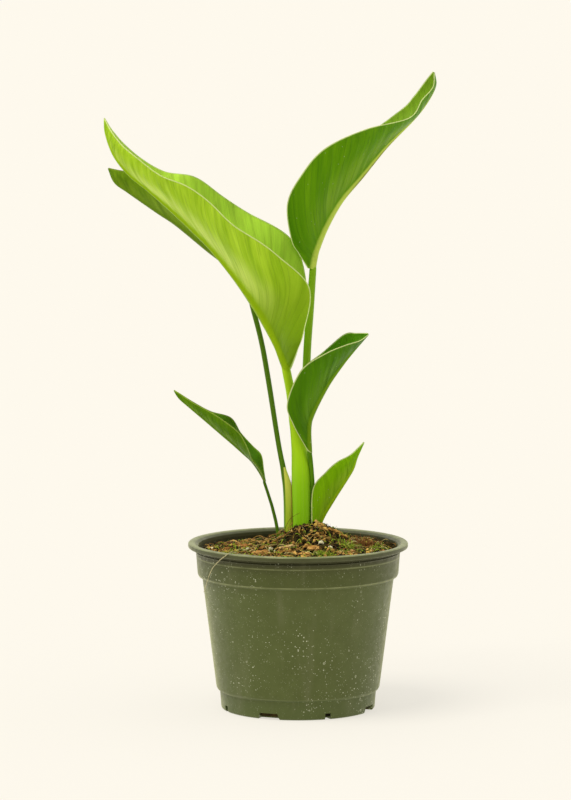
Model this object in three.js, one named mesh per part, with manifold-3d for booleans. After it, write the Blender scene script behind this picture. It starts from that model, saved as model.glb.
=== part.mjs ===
// A young bird of paradise (Strelitzia) in a round plastic nursery pot.
// Millimetres, +Z up. The origin is the centre of the pot's flat underside.
// The plant is a fan of troughed leaves: three lean left (-X) and three lean right (+X).
import * as THREE from "three";
import { mergeVertices } from "three/addons/utils/BufferGeometryUtils.js";
import Module from "manifold-3d";

const wasm = await Module();
wasm.setup();

// ---------------------------------------------------------------- driving dimensions

const CLEARANCE = 0.5; // between any two pieces that touch

// Pot: a tapered body on a stepped foot, with a collar and a lip above it.
const POT_HEIGHT = 125;
const BODY_TOP_RADIUS = 71.8;
const BODY_TAPER = 7.1; // degrees from vertical
const POT_WALL = 1.6;
const FOOT_HEIGHT = 15.5;
const FOOT_STEP = 2.6; // how far the body stands out over the foot
const FOOT_TAPER = 4; // degrees
const COLLAR_BOTTOM = 25; // below the top of the lip
const COLLAR_TOP = 6.4; // below the top of the lip
const COLLAR_STEP = 3.4; // how far the collar stands out over the body
const COLLAR_FLARE = 1.2;
const BEAD = 0.6; // ridge along the collar's top edge
const LIP_OVERHANG = 5.9; // past the neck above the collar
const LIP_HEIGHT = 3.8;
const LIP_TOP_WIDTH = 4.2;
const LEDGE_WIDTH = 2; // inner shelf below the lip
const POT_SEGMENTS = 40;

// Drain notches around the foot's lower edge, wide and narrow ones in turn. Each opens into
// a pocket that stands up from the floor inside the pot.
const NOTCH_COUNT = 8;
const NOTCH_FIRST = 22.5; // degrees from the front (-Y)
const NOTCH_WIDE = 18;
const NOTCH_NARROW = 4.6;
const NOTCH_HEIGHT = 4.6;
const NOTCH_DEPTH = 8; // inwards from the foot's outside
const NOTCH_SLOPE = 2; // each wide notch narrows by this much on each side towards its top
const DRAIN_WIDTH = 8; // of the hole in each wide notch's inner wall
const DRAIN_HEIGHT = 2.2;

// Soil: level near the wall, heaped around the stalks. Heights are from the top of the lip.
const SOIL_EDGE_DROP = 6;
const SOIL_TILT = 1.6; // the right side and the front stand this much higher than the middle
const MOUND_HEIGHT = 20.5;
const MOUND_RADIUS = 25;
const MOUND_OFFSET = 9; // towards the right
const SOIL_SEGMENTS = 32;
const SOIL_RINGS = 6;

// Leaves.
const BLADE_THICKNESS = 0.9;
const BLADE_BULGE = 0.1; // how far each half bows out, as a share of its width
const BLADE_STEPS = 15;
const HALF_BLADE_STEPS = 4;

// Root crown: the buried rhizome that the stalks grow from, with its fleshy roots.
const CROWN_DEPTH = 34; // its middle, below the top of the lip
const CROWN_LENGTH = 42;
const CROWN_THICKNESS = 19;
const ROOT_RADIUS = 3.2;
const ROOT_COUNT = 6;
const ROOT_REACH = 46;
const ROOT_DROP = 48;

// Loose pieces on the soil.
const LOOSE_ROOT_RADIUS = 0.55;
const CHIP_THICKNESS = 2.4;
const CHIP_SINK = 0.9; // how deep a bark chip is bedded
const PERLITE_RADIUS = 1.9;
const CUSHION_HEIGHT = 3; // of moss and of fibre tufts

// ---------------------------------------------------------------- small helpers

const rad = THREE.MathUtils.degToRad;
const lerp = THREE.MathUtils.lerp;
const smooth = (x) => THREE.MathUtils.smoothstep(x, 0, 1);
const vec = (p) => new THREE.Vector3(...p);

// A surface from rings of points with the same count, joined in order. Its quads are split along
// one diagonal up to point `turn` of a ring and along the other one from there, so that the two
// sides of a thin sheet stay parallel.
function lofted(rings, turn = rings[0].length) {
  const n = rings[0].length;
  const points = rings.flat();
  const faces = [];
  for (let i = 0; i + 1 < rings.length; i++) {
    for (let j = 0; j < n; j++) {
      const a = i * n + j;
      const b = i * n + ((j + 1) % n);
      if (j < turn) faces.push(a, b, b + n, a, b + n, a + n);
      else faces.push(a, b, a + n, b, b + n, a + n);
    }
  }
  return { points, faces };
}

function geometryOf(points, faces) {
  const flat = points.flatMap((p) => [p.x, p.y, p.z]);
  const made = new THREE.BufferGeometry();
  made.setAttribute("position", new THREE.Float32BufferAttribute(flat, 3));
  made.setIndex(faces);
  return made;
}

// A three.js geometry as a manifold solid, and back.
function solid(geometry) {
  const bare = new THREE.BufferGeometry();
  const source = geometry.index ? geometry.toNonIndexed() : geometry;
  bare.setAttribute("position", source.getAttribute("position"));
  const merged = mergeVertices(bare, 1e-4);
  const made = new wasm.Manifold(
    new wasm.Mesh({
      numProp: 3,
      vertProperties: merged.attributes.position.array,
      triVerts: new Uint32Array(merged.index.array),
    }),
  );
  return made.volume() < 0 ? solid(reversed(geometry)) : made;
}

function reversed(geometry) {
  const flipped = geometry.index ? geometry.toNonIndexed() : geometry.clone();
  const p = flipped.getAttribute("position");
  for (let i = 0; i < p.count; i += 3) {
    const a = new THREE.Vector3().fromBufferAttribute(p, i);
    const b = new THREE.Vector3().fromBufferAttribute(p, i + 1);
    p.setXYZ(i, b.x, b.y, b.z);
    p.setXYZ(i + 1, a.x, a.y, a.z);
  }
  return flipped;
}

function geometryFrom(manifold) {
  const mesh = manifold.getMesh();
  const made = new THREE.BufferGeometry();
  const positions = [];
  for (let i = 0; i < mesh.numVert; i++) {
    positions.push(...mesh.vertProperties.subarray(i * mesh.numProp, i * mesh.numProp + 3));
  }
  made.setAttribute("position", new THREE.Float32BufferAttribute(positions, 3));
  made.setIndex([...mesh.triVerts]);
  return made;
}

// Only the largest piece of a cut solid, so that a chip cut off by a crossing cutter is left out.
function largest(manifold) {
  return manifold.decompose().reduce((a, b) => (a.volume() >= b.volume() ? a : b));
}

// ---------------------------------------------------------------- pot

const neckRadius = BODY_TOP_RADIUS + COLLAR_STEP + COLLAR_FLARE;
const rimRadius = neckRadius + LIP_OVERHANG;
const bodyDrop = POT_HEIGHT - COLLAR_BOTTOM - FOOT_HEIGHT;
const bodyLowRadius = BODY_TOP_RADIUS - bodyDrop * Math.tan(rad(BODY_TAPER));
const footTopRadius = bodyLowRadius - FOOT_STEP;
const footRadius = footTopRadius - FOOT_HEIGHT * Math.tan(rad(FOOT_TAPER));
const collarBottomZ = POT_HEIGHT - COLLAR_BOTTOM;
const collarTopZ = POT_HEIGHT - COLLAR_TOP;
const lipBottomZ = POT_HEIGHT - LIP_HEIGHT;
const lipInnerRadius = rimRadius - LIP_TOP_WIDTH;
const EDGE = 0.8; // small rounding of moulded edges
const STEP_RISE = 1.8; // height of the rounded steps at the foot and under the collar

// Outside of the pot as [radius, z], from the underside up to the lip.
const potOutside = [
  [footRadius - EDGE, 0],
  [footRadius, EDGE],
  [footTopRadius, FOOT_HEIGHT - STEP_RISE],
  [bodyLowRadius - EDGE, FOOT_HEIGHT - EDGE],
  [bodyLowRadius, FOOT_HEIGHT + EDGE],
  [BODY_TOP_RADIUS, collarBottomZ - EDGE],
  [BODY_TOP_RADIUS + COLLAR_STEP - EDGE, collarBottomZ],
  [BODY_TOP_RADIUS + COLLAR_STEP, collarBottomZ + STEP_RISE],
  [neckRadius, collarTopZ - EDGE],
  [neckRadius + BEAD, collarTopZ - EDGE / 2],
  [neckRadius + BEAD, collarTopZ],
  [neckRadius, collarTopZ + EDGE / 2],
  [neckRadius, lipBottomZ],
  [rimRadius - EDGE, lipBottomZ],
  [rimRadius, lipBottomZ + EDGE],
  [rimRadius, POT_HEIGHT - EDGE],
  [rimRadius - EDGE, POT_HEIGHT],
];

// Inside of the pot as [radius, z], from the lip down to the floor.
const ledgeZ = collarTopZ - EDGE;
const upperInside = neckRadius - POT_WALL;
const potInside = [
  [lipInnerRadius, POT_HEIGHT],
  [upperInside, POT_HEIGHT - LIP_HEIGHT / 2],
  [upperInside, ledgeZ],
  [upperInside - LEDGE_WIDTH, ledgeZ - EDGE / 2],
  [BODY_TOP_RADIUS + COLLAR_STEP - POT_WALL - LEDGE_WIDTH / 2, collarBottomZ + STEP_RISE],
  [BODY_TOP_RADIUS - POT_WALL, collarBottomZ - STEP_RISE],
  [bodyLowRadius - POT_WALL, FOOT_HEIGHT + EDGE],
  [footTopRadius - POT_WALL, FOOT_HEIGHT - STEP_RISE],
  [footRadius - POT_WALL, POT_WALL],
];

function lathe(profile, segments) {
  return new THREE.LatheGeometry(
    profile.map(([r, z]) => new THREE.Vector2(r, z)),
    segments,
  ).rotateX(Math.PI / 2);
}

// A trapezoid standing on the pot's underside, drawn across the foot and pushed inwards to a
// depth from the foot's outside, then turned to its place around the axis.
function footBlock({ half, slope, low, high, depth, turn }) {
  const shape = new THREE.Shape([
    new THREE.Vector2(-half, low),
    new THREE.Vector2(half, low),
    new THREE.Vector2(half - slope, high),
    new THREE.Vector2(-half + slope, high),
  ]);
  const outside = 3;
  const block = new THREE.ExtrudeGeometry(shape, { depth: depth + outside, bevelEnabled: false });
  return solid(block.rotateX(Math.PI / 2).translate(0, depth - footRadius, 0).rotateZ(turn));
}

const notches = Array.from({ length: NOTCH_COUNT }, (_, i) => {
  const wide = i % 2 === 1;
  return {
    turn: rad(NOTCH_FIRST + (i * 360) / NOTCH_COUNT),
    half: (wide ? NOTCH_WIDE : NOTCH_NARROW) / 2,
    slope: wide ? NOTCH_SLOPE : 0,
    wide,
  };
});

// The pocket over a notch, grown by the given amount.
const pocketOver = (notch, grow) =>
  footBlock({
    ...notch,
    half: notch.half + grow,
    low: 0,
    high: NOTCH_HEIGHT + grow,
    depth: NOTCH_DEPTH + grow,
  });

function potSolid() {
  const envelope = solid(lathe([[0, 0], ...potOutside, [0, POT_HEIGHT]], POT_SEGMENTS));
  const profile = [[0, 0], ...potOutside, ...potInside, [0, POT_WALL]];
  let pot = solid(lathe(profile, POT_SEGMENTS));
  for (const notch of notches) pot = pot.add(pocketOver(notch, POT_WALL).intersect(envelope));
  for (const notch of notches) {
    pot = pot.subtract(footBlock({ ...notch, low: -1, high: NOTCH_HEIGHT, depth: NOTCH_DEPTH }));
    if (!notch.wide) continue;
    const hole = { half: DRAIN_WIDTH / 2, slope: 0, low: POT_WALL, high: POT_WALL + DRAIN_HEIGHT };
    pot = pot.subtract(footBlock({ ...hole, depth: NOTCH_DEPTH + 2 * POT_WALL, turn: notch.turn }));
  }
  return pot;
}

// ---------------------------------------------------------------- soil

const soilRadius = upperInside - LEDGE_WIDTH - CLEARANCE;

// Height of the soil above the pot's underside.
function soilHeight(x, y) {
  const away = Math.hypot((x - MOUND_OFFSET) / MOUND_RADIUS, y / (MOUND_RADIUS * 1.1));
  const heap = MOUND_HEIGHT * Math.exp(-Math.pow(away, 2.2));
  const unevenness = 0.7 * Math.sin(x / 7) * Math.cos(y / 9);
  const level = POT_HEIGHT - SOIL_EDGE_DROP + (SOIL_TILT * (x - y)) / soilRadius;
  return level + heap + unevenness * (1 - Math.hypot(x, y) / soilRadius);
}

function soilSolid() {
  const ring = (radius, height) =>
    Array.from({ length: SOIL_SEGMENTS }, (_, j) => {
      const turn = (j / SOIL_SEGMENTS) * Math.PI * 2;
      const [x, y] = [radius * Math.cos(turn), radius * Math.sin(turn)];
      return new THREE.Vector3(x, y, height ?? soilHeight(x, y));
    });
  const rings = [];
  for (let i = 1; i <= SOIL_RINGS; i++) rings.push(ring((soilRadius * i) / SOIL_RINGS));
  for (const [r, z] of potInside.slice(4)) rings.push(ring(r - CLEARANCE, z + CLEARANCE));
  const { points, faces } = lofted(rings);
  const [top, bottom] = [points.length, points.length + 1];
  points.push(new THREE.Vector3(0, 0, soilHeight(0, 0)));
  points.push(new THREE.Vector3(0, 0, POT_WALL + CLEARANCE));
  const last = (rings.length - 1) * SOIL_SEGMENTS;
  for (let j = 0; j < SOIL_SEGMENTS; j++) {
    const next = (j + 1) % SOIL_SEGMENTS;
    faces.push(top, next, j);
    faces.push(bottom, last + j, last + next);
  }
  return solid(geometryOf(points, faces));
}

// ---------------------------------------------------------------- leaves

// Places on the plant are measured from the pot's axis and the top of its lip.
const onPlant = ([x, y, z]) => new THREE.Vector3(x, y, POT_HEIGHT + z);

// One station of a blade: a point on the underside of the midrib, the width of each half
// there, the ways in which the front half and the back half leave the midrib, and the back
// half's share of that width.
const station = (at, wide, front, back, share = 1) => ({ at, wide, front, back, share });

const BLADES = {
  tall_left_blade: {
    rib: 3.4,
    stations: [
      station([-11.2, -6.6, 129.4], 7.3, [0.81, -0.44, 0.4], [0.87, 0.46, 0.2]),
      station([-14.7, -7.3, 139], 22.5, [0.67, -0.65, 0.36], [0.64, 0.76, 0.12]),
      station([-18.6, -8, 149], 35, [0.66, -0.65, 0.37], [0.62, 0.76, 0.2]),
      station([-30, -10, 170], 47, [0.81, -0.31, 0.5], [0.72, 0.46, 0.52], 1.06),
      station([-46.4, -13, 195.5], 51, [0.58, -0.66, 0.47], [0.76, 0.28, 0.58], 1.06),
      station([-65.5, -15, 220], 46, [0.44, -0.79, 0.42], [0.62, 0.54, 0.56]),
      station([-81.7, -17, 236.5], 41, [0.45, -0.76, 0.48], [0.6, 0.57, 0.55]),
      station([-97, -18, 251], 36, [0.43, -0.76, 0.49], [0.56, 0.56, 0.61]),
      station([-111, -18, 263.5], 29, [0.38, -0.81, 0.45], [0.44, 0.77, 0.47]),
      station([-125, -18, 275], 22, [0.4, -0.72, 0.57], [0.4, 0.74, 0.55]),
      station([-136, -17, 289], 14.5, [0.54, -0.66, 0.54], [0.57, 0.61, 0.56]),
      station([-142, -16, 305], 7, [0.66, -0.6, 0.45], [0.7, 0.5, 0.5]),
      station([-143, -16, 317], 0.8, [0.7, -0.5, 0.4], [0.7, 0.5, 0.5]),
    ],
  },
  tall_right_blade: {
    rib: 2.7,
    stations: [
      station([12.9, 8.4, 203.5], 6.8, [-0.86, -0.45, 0.2], [-0.86, 0.5, 0.2]),
      station([14.3, 8.9, 211.5], 16, [-0.86, -0.43, 0.26], [-0.8, 0.57, 0.2]),
      station([16.4, 9.6, 219.5], 25.5, [-0.85, -0.45, 0.29], [-0.8, 0.57, 0.19]),
      station([23, 11.4, 235.5], 41.5, [-0.75, -0.49, 0.45], [-0.73, 0.57, 0.37]),
      station([33.6, 14, 254], 46, [-0.68, -0.56, 0.48], [-0.66, 0.64, 0.4]),
      station([48.7, 16.6, 272], 44, [-0.65, -0.56, 0.51], [-0.62, 0.65, 0.44]),
      station([66.6, 20, 294], 33, [-0.5, -0.73, 0.45], [-0.43, 0.85, 0.31]),
      station([86.8, 25, 314.6], 17.5, [-0.25, -0.96, 0.09], [-0.52, 0.76, 0.4]),
      station([96.9, 27, 327.6], 13.5, [-0.36, -0.92, 0.17], [-0.76, 0.57, 0.31]),
      station([102.8, 29, 339.6], 9, [-0.3, -0.94, -0.05], [-0.86, 0.3, 0.42]),
      station([101.8, 30, 349.4], 1.6, [-0.2, -0.95, 0.1], [-0.8, 0.3, 0.5]),
    ],
  },
  rear_left_blade: {
    rib: 1.8,
    stations: [
      station([-35, 34, 176], 2, [0.8, -0.5, 0.3], [0.8, 0.5, 0.3]),
      station([-43.2, 36, 193.5], 18, [0.76, -0.47, 0.45], [0.75, 0.54, 0.38]),
      station([-55.8, 37, 205.2], 28, [0.62, -0.4, 0.67], [0.66, 0.3, 0.69]),
      station([-70.2, 38, 216.5], 32, [0.56, -0.46, 0.69], [0.61, 0.3, 0.73]),
      station([-92, 38, 234.5], 32, [0.58, -0.4, 0.71], [0.62, 0.2, 0.76]),
      station([-106, 37, 244], 27, [0.55, -0.45, 0.69], [0.6, 0.31, 0.73]),
      station([-127.6, 36, 259.2], 18, [0.6, -0.25, 0.76], [0.62, 0.15, 0.77]),
      station([-137.6, 35, 266.8], 10.6, [0.45, -0.2, 0.88], [0.45, 0.2, 0.88]),
      station([-142.4, 35, 277.5], 0.8, [0.6, -0.3, 0.7], [0.6, 0.3, 0.7]),
    ],
  },
  mid_right_blade: {
    rib: 2,
    stations: [
      station([10.2, -5.4, 67.2], 2.8, [-0.8, -0.5, 0.3], [-0.85, 0.3, 0.3]),
      station([9.6, -10, 86.5], 17, [-0.8, -0.54, 0.26], [-0.95, -0.05, 0.25], 0.84),
      station([12.4, -13, 98], 26, [-0.8, -0.48, 0.36], [-0.93, 0.04, 0.32], 0.8),
      station([22.6, -16.6, 118.5], 29, [-0.71, -0.53, 0.47], [-0.86, 0.28, 0.38], 0.86),
      station([32.9, -18.6, 134], 24, [-0.54, -0.71, 0.46], [-0.6, 0.7, 0.36]),
      station([41, -19.6, 144.5], 16, [-0.41, -0.81, 0.41], [-0.44, 0.41, 0.8]),
      station([47.7, -20.4, 152.5], 9, [-0.27, -0.94, 0.17], [-0.49, 0.58, 0.65]),
      station([52, -20.6, 157.5], 1.6, [-0.2, -0.95, 0.1], [-0.3, 0.5, 0.8]),
    ],
  },
  low_left_blade: {
    rib: 1.3,
    stations: [
      station([-25.4, 14, 43.4], 1.4, [0.3, -0.9, 0.3], [0.8, 0.5, 0.3]),
      station([-30, 12.4, 52], 5, [0.23, -0.94, 0.27], [0.88, 0.45, 0.1]),
      station([-35.2, 10.6, 59.4], 10, [0.1, -0.97, 0.23], [0.78, 0.45, 0.44]),
      station([-40.3, 9, 64.2], 13, [0.26, -0.87, 0.42], [0.5, 0.74, 0.46]),
      station([-49.6, 6, 73], 15, [0.44, -0.7, 0.57], [0.45, 0.75, 0.48]),
      station([-59.6, 3, 82], 15, [0.45, -0.7, 0.56], [0.63, 0.3, 0.72]),
      station([-70.2, 1, 91.5], 11, [0.45, -0.62, 0.65], [0.46, 0.71, 0.53]),
      station([-81, -1, 101], 6.5, [0.48, -0.54, 0.69], [0.48, 0.64, 0.6]),
      station([-88.7, -2, 108], 4, [0.45, -0.3, 0.84], [0.43, 0.5, 0.75]),
      station([-92.6, -2, 114], 0.7, [0.6, -0.4, 0.7], [0.6, 0.4, 0.7]),
    ],
  },
  young_right_blade: {
    rib: 1.7,
    stations: [
      station([15, 3.4, -27.5], 4.6, [-0.5, -0.85, 0.1], [-0.4, 0.9, 0]),
      station([16, 3, 2], 8.4, [-0.56, -0.82, 0.1], [-0.5, 0.86, 0]),
      station([18.6, 2, 15.5], 11.5, [-0.75, -0.62, 0.22], [-0.61, 0.79, 0.1]),
      station([27.4, 0.4, 31.4], 20, [-0.82, -0.3, 0.5], [-0.76, 0.52, 0.39]),
      station([36, -1.6, 45.4], 18.5, [-0.83, -0.32, 0.46], [-0.76, 0.57, 0.33]),
      station([41.5, -3, 55], 15, [-0.83, -0.35, 0.43], [-0.75, 0.59, 0.31]),
      station([44.4, -3.8, 64], 7, [-0.8, -0.46, 0.37], [-0.74, 0.64, 0.19]),
      station([49.4, -4, 75.5], 0.8, [-0.8, -0.4, 0.3], [-0.8, 0.4, 0.3]),
    ],
  },
};

// A stalk: points on its middle line with the radius there and how far it has opened out
// from a grooved rod (0) into a thin clasping sheath (1), and the side its groove faces.
const joint = (at, radius, open = 0) => ({ at, radius, open });

const STALKS = {
  tall_left_stalk: {
    faces: 50,
    joints: [
      joint([2.8, 0, -28], 5.6, 0.9),
      joint([2.8, 0, 18], 6, 1),
      joint([2.6, 0.2, 37], 6.2, 1),
      joint([2.3, 0.5, 51], 6.1, 1),
      joint([1.4, 1.2, 65], 5.6, 0.9),
      joint([-0.9, 1.4, 79.5], 4.5, 0.4),
      joint([-3, 0.6, 91.6], 3.8, 0.1),
      joint([-5.2, -2.6, 110.4], 3.4, 0),
      joint([-8.7, -6.4, 129.2], 3.2, 0),
    ],
  },
  rear_left_stalk: {
    faces: 20,
    joints: [
      joint([-7.2, 3.4, -28], 3.3, 0.9),
      joint([-7.2, 3.6, 18], 3.4, 1),
      joint([-7.7, 4, 38], 3.5, 1),
      joint([-9.7, 4.8, 48.5], 2.7, 0.6),
      joint([-11.5, 6, 57], 2.1, 0.2),
      joint([-15, 10, 74.7], 1.9, 0),
      joint([-22.3, 19, 120], 2, 0),
      joint([-27.6, 26, 148.5], 1.95, 0),
      joint([-34.7, 33.8, 175.5], 1.9, 0),
    ],
  },
  tall_right_stalk: {
    faces: 180,
    joints: [
      joint([2.4, 1.2, -28], 2.2, 0),
      joint([2.4, 1.4, 31], 2.3, 0),
      joint([3.8, 4.2, 60], 2.5, 0),
      joint([4.3, 6.4, 80], 2.9, 0),
      joint([5.2, 7.6, 106], 3.2, 0),
      joint([6.7, 8.2, 145], 3.1, 0),
      joint([8.8, 8.3, 174], 3, 0),
      joint([10.8, 8.4, 203.2], 2.8, 0),
    ],
  },
  mid_right_stalk: {
    faces: 180,
    joints: [
      joint([9.6, 3.4, -28], 1.7, 0),
      joint([10, 3.2, 20], 1.7, 0),
      joint([11, 0.2, 33], 1.7, 0),
      joint([10.7, -2, 43.6], 1.7, 0),
      joint([10.1, -2.6, 53], 1.7, 0),
      joint([9.3, -3.2, 61], 1.8, 0),
      joint([8.4, -5.2, 67.4], 2, 0),
    ],
  },
  low_left_stalk: {
    faces: 30,
    joints: [
      joint([-11, 6.4, -32], 1.5, 0),
      joint([-15.2, 13, 5], 1.3, 0),
      joint([-18.8, 15, 22], 1.2, 0),
      joint([-21.9, 14.8, 32.5], 1.15, 0),
      joint([-25.3, 14, 43.1], 1.1, 0),
    ],
  },
};

const catmull = (points) => new THREE.CatmullRomCurve3(points, false, "catmullrom", 0.5);

// The blade's middle surface as a grid, with how far each point is from the midrib.
function bladeGrid({ rib, stations }, clearance) {
  const rail = (side) =>
    catmull(
      stations.map((s) => {
        const out = side ? vec(s[side]).normalize() : new THREE.Vector3();
        const reach = s.wide * (side === "back" ? s.share : 1) + clearance;
        return onPlant(s.at).addScaledVector(out, side ? reach : 0);
      }),
    );
  const [middle, front, back] = [rail(null), rail("front"), rail("back")];
  const rows = [];
  for (let i = 0; i <= BLADE_STEPS; i++) {
    const t = i / BLADE_STEPS;
    const under = middle.getPoint(t);
    const keel = rib * (1 - 0.85 * t);
    const inwards = front.getPoint(t).add(back.getPoint(t)).addScaledVector(under, -2).normalize();
    const m = under.clone().addScaledVector(inwards, keel);
    const toFront = front.getPoint(t).sub(m);
    const toBack = back.getPoint(t).sub(m);
    const row = [];
    for (let j = -HALF_BLADE_STEPS; j <= HALF_BLADE_STEPS; j++) {
      const share = Math.abs(j) / HALF_BLADE_STEPS;
      const [here, other] = j < 0 ? [toFront, toBack] : [toBack, toFront];
      const along = here.clone().normalize();
      const bow = along.clone().multiplyScalar(along.dot(other)).sub(other).normalize();
      const bulge = BLADE_BULGE * here.length() * Math.sin(Math.PI * share);
      row.push(m.clone().addScaledVector(here, share).addScaledVector(bow, bulge));
    }
    rows.push({ row, keel, inwards, half: Math.min(toFront.length(), toBack.length()) });
  }
  return rows;
}

// A blade is that surface thickened to both sides, with a rounded keel along the midrib.
function bladeSolid(leaf, clearance = 0) {
  const rows = bladeGrid(leaf, clearance);
  const rings = rows.map(({ row, keel, inwards, half }, i) => {
    const before = rows[Math.max(i - 1, 0)].row;
    const after = rows[Math.min(i + 1, rows.length - 1)].row;
    // Which way along × across points: into the leaf's trough, or out of it.
    const rise = after[HALF_BLADE_STEPS].clone().sub(before[HALF_BLADE_STEPS]);
    const width = row[row.length - 1].clone().sub(row[0]);
    const inside = Math.sign(rise.cross(width).dot(inwards));
    const thick = Math.min(BLADE_THICKNESS, 0.25 * half + 0.25) / 2 + clearance;
    const inner = [];
    const outer = [];
    row.forEach((p, j) => {
      const across = row[Math.min(j + 1, row.length - 1)].clone().sub(row[Math.max(j - 1, 0)]);
      const along = after[j].clone().sub(before[j]);
      const normal = along.clone().cross(across).setLength(inside);
      const end = i === 0 ? along.clone().setLength(-clearance) : new THREE.Vector3();
      const down = j === HALF_BLADE_STEPS ? keel : 0;
      inner.push(p.clone().add(end).addScaledVector(normal, thick));
      outer.push(p.clone().add(end).addScaledVector(normal, -thick - down));
    });
    return [...inner, ...outer.reverse()];
  });
  // The cut that a blade makes is thick enough to need no parallel sides.
  return capped(rings, clearance > 0 ? rings[0].length : rings[0].length / 2);
}

// Caps both ends of a loft whose rings run out along one side and back along the other.
function capped(rings, turn) {
  const n = rings[0].length;
  const { points, faces } = lofted(rings, turn);
  const last = (rings.length - 1) * n;
  for (let j = 0; j + 1 < n / 2; j++) {
    const [a, b, c, d] = [j, j + 1, n - 2 - j, n - 1 - j];
    faces.push(a, c, b, a, d, c);
    faces.push(last + a, last + b, last + c, last + a, last + c, last + d);
  }
  return solid(geometryOf(points, faces));
}

const STALK_STEPS = 12;
const STALK_SIDES = 6; // points along the back of the section, and along its groove
const ROD_GROOVE = 0.35; // depth of the groove in a stalk, as a share of its radius
const SHEATH_WALL = 1.5;

// Half the angle that a stalk's groove or a sheath's gap spans.
const gapAngle = (open) => rad(lerp(32, 62, open));

// Section of a stalk: round the back from one lip of the groove to the other, then back along it.
function stalkSection(radius, open, clearance) {
  const gap = gapAngle(open) - (1.2 * clearance) / radius;
  const back = [];
  const groove = [];
  for (let j = 0; j < STALK_SIDES; j++) {
    const share = j / (STALK_SIDES - 1);
    const turn = gap + share * (2 * Math.PI - 2 * gap);
    back.push(new THREE.Vector2(Math.cos(turn), Math.sin(turn)).multiplyScalar(radius + clearance));
    const wall = Math.max(radius - SHEATH_WALL - clearance, radius * 0.3);
    const sheath = new THREE.Vector2(Math.cos(turn), Math.sin(turn)).multiplyScalar(wall);
    const dip = ROD_GROOVE * 4 * share * (1 - share);
    const rod = new THREE.Vector2(
      (Math.cos(gap) - dip) * radius + clearance,
      Math.sin(gap) * (1 - 2 * share) * radius * 0.96,
    );
    groove.push(rod.lerp(sheath, open));
  }
  return [...back, ...groove.reverse()];
}

function stalkSolid({ faces: facing, joints }, clearance = 0) {
  const middle = catmull(joints.map((j) => onPlant(j.at)));
  const sizes = catmull(joints.map((j) => new THREE.Vector3(j.radius, j.open, 0)));
  const groove = new THREE.Vector3(Math.cos(rad(facing)), Math.sin(rad(facing)), 0);
  const rings = [];
  for (let i = 0; i <= STALK_STEPS; i++) {
    const t = i / STALK_STEPS;
    const along = middle.getTangent(t);
    const u = groove.clone().addScaledVector(along, -groove.dot(along)).normalize();
    const v = along.clone().cross(u);
    const size = sizes.getPoint(t);
    const open = THREE.MathUtils.clamp(size.y, 0, 1);
    const section = stalkSection(size.x, open, clearance);
    const at = middle.getPoint(t);
    if (i === 0) at.addScaledVector(along, -clearance);
    rings.push(
      section.map((p) => at.clone().addScaledVector(u, p.x).addScaledVector(v, p.y)),
    );
  }
  return capped(rings);
}

// ---------------------------------------------------------------- root crown

const ROOT_SIDES = 6;
const ROOT_STEPS = 5;

// A tapering round rod along a curve.
function rodSolid(curve, radiusAt, steps, sides) {
  const frames = curve.computeFrenetFrames(steps, false);
  const rings = [];
  for (let i = 0; i <= steps; i++) {
    const at = curve.getPointAt(i / steps);
    rings.push(
      Array.from({ length: sides }, (_, j) => {
        const turn = (j / sides) * Math.PI * 2;
        return at
          .clone()
          .addScaledVector(frames.normals[i], Math.cos(turn) * radiusAt(i / steps))
          .addScaledVector(frames.binormals[i], Math.sin(turn) * radiusAt(i / steps));
      }),
    );
  }
  return capped(rings);
}

function crownSolid(clearance = 0) {
  const lump = new THREE.SphereGeometry(1, 14, 8).scale(
    CROWN_LENGTH / 2 + clearance,
    CROWN_THICKNESS / 2 + clearance,
    CROWN_THICKNESS / 2 + clearance,
  );
  let crown = solid(lump.translate(1, 2, POT_HEIGHT - CROWN_DEPTH));
  for (let i = 0; i < ROOT_COUNT; i++) {
    const turn = ((i + 0.5) / ROOT_COUNT) * Math.PI * 2;
    const [x, y] = [Math.cos(turn), Math.sin(turn)];
    const reach = ROOT_REACH * (i % 2 ? 1 : 0.8);
    const curve = catmull([
      onPlant([x * 8, y * 3 + 2, -CROWN_DEPTH]),
      onPlant([x * reach * 0.5, y * reach * 0.45, -CROWN_DEPTH - ROOT_DROP * 0.25]),
      onPlant([x * reach * 0.9, y * reach * 0.85, -CROWN_DEPTH - ROOT_DROP * 0.6]),
      onPlant([x * reach, y * reach, -CROWN_DEPTH - ROOT_DROP - clearance]),
    ]);
    const radiusAt = (t) => lerp(ROOT_RADIUS, ROOT_RADIUS * 0.4, t) + clearance;
    crown = crown.add(rodSolid(curve, radiusAt, ROOT_STEPS, ROOT_SIDES));
  }
  return crown;
}

// ---------------------------------------------------------------- loose pieces on the soil

// Places are a share of the soil's radius and an angle from the right (+X), in degrees.
const place = (share, turn) => {
  const [x, y] = [Math.cos(rad(turn)), Math.sin(rad(turn))];
  return [x * share * soilRadius, y * share * soilRadius];
};

// Bark chips: share of the radius, angle, length, width, heading and tilt in degrees.
const BARK_CHIPS = [
  [0.5, -72, 9, 4.5, 0, 6],
  [0.41, -107, 12, 2.4, -6, 10],
  [0.84, 126, 9, 5, 10, 5],
  [0.53, -137, 12, 4, 5, 5],
  [0.62, 160, 9, 6, -20, 8],
  [0.7, 178, 10, 6, 40, 6],
  [0.66, -85, 9, 3.6, -10, 5],
  [0.84, 146, 10, 5, -30, 12],
  [0.74, -44, 11, 4, 60, 6],
  [0.78, 34, 12, 5, 25, 5],
  [0.68, 75, 14, 5, 0, 5],
  [0.66, 104, 10, 6, 50, 4],
];

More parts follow.
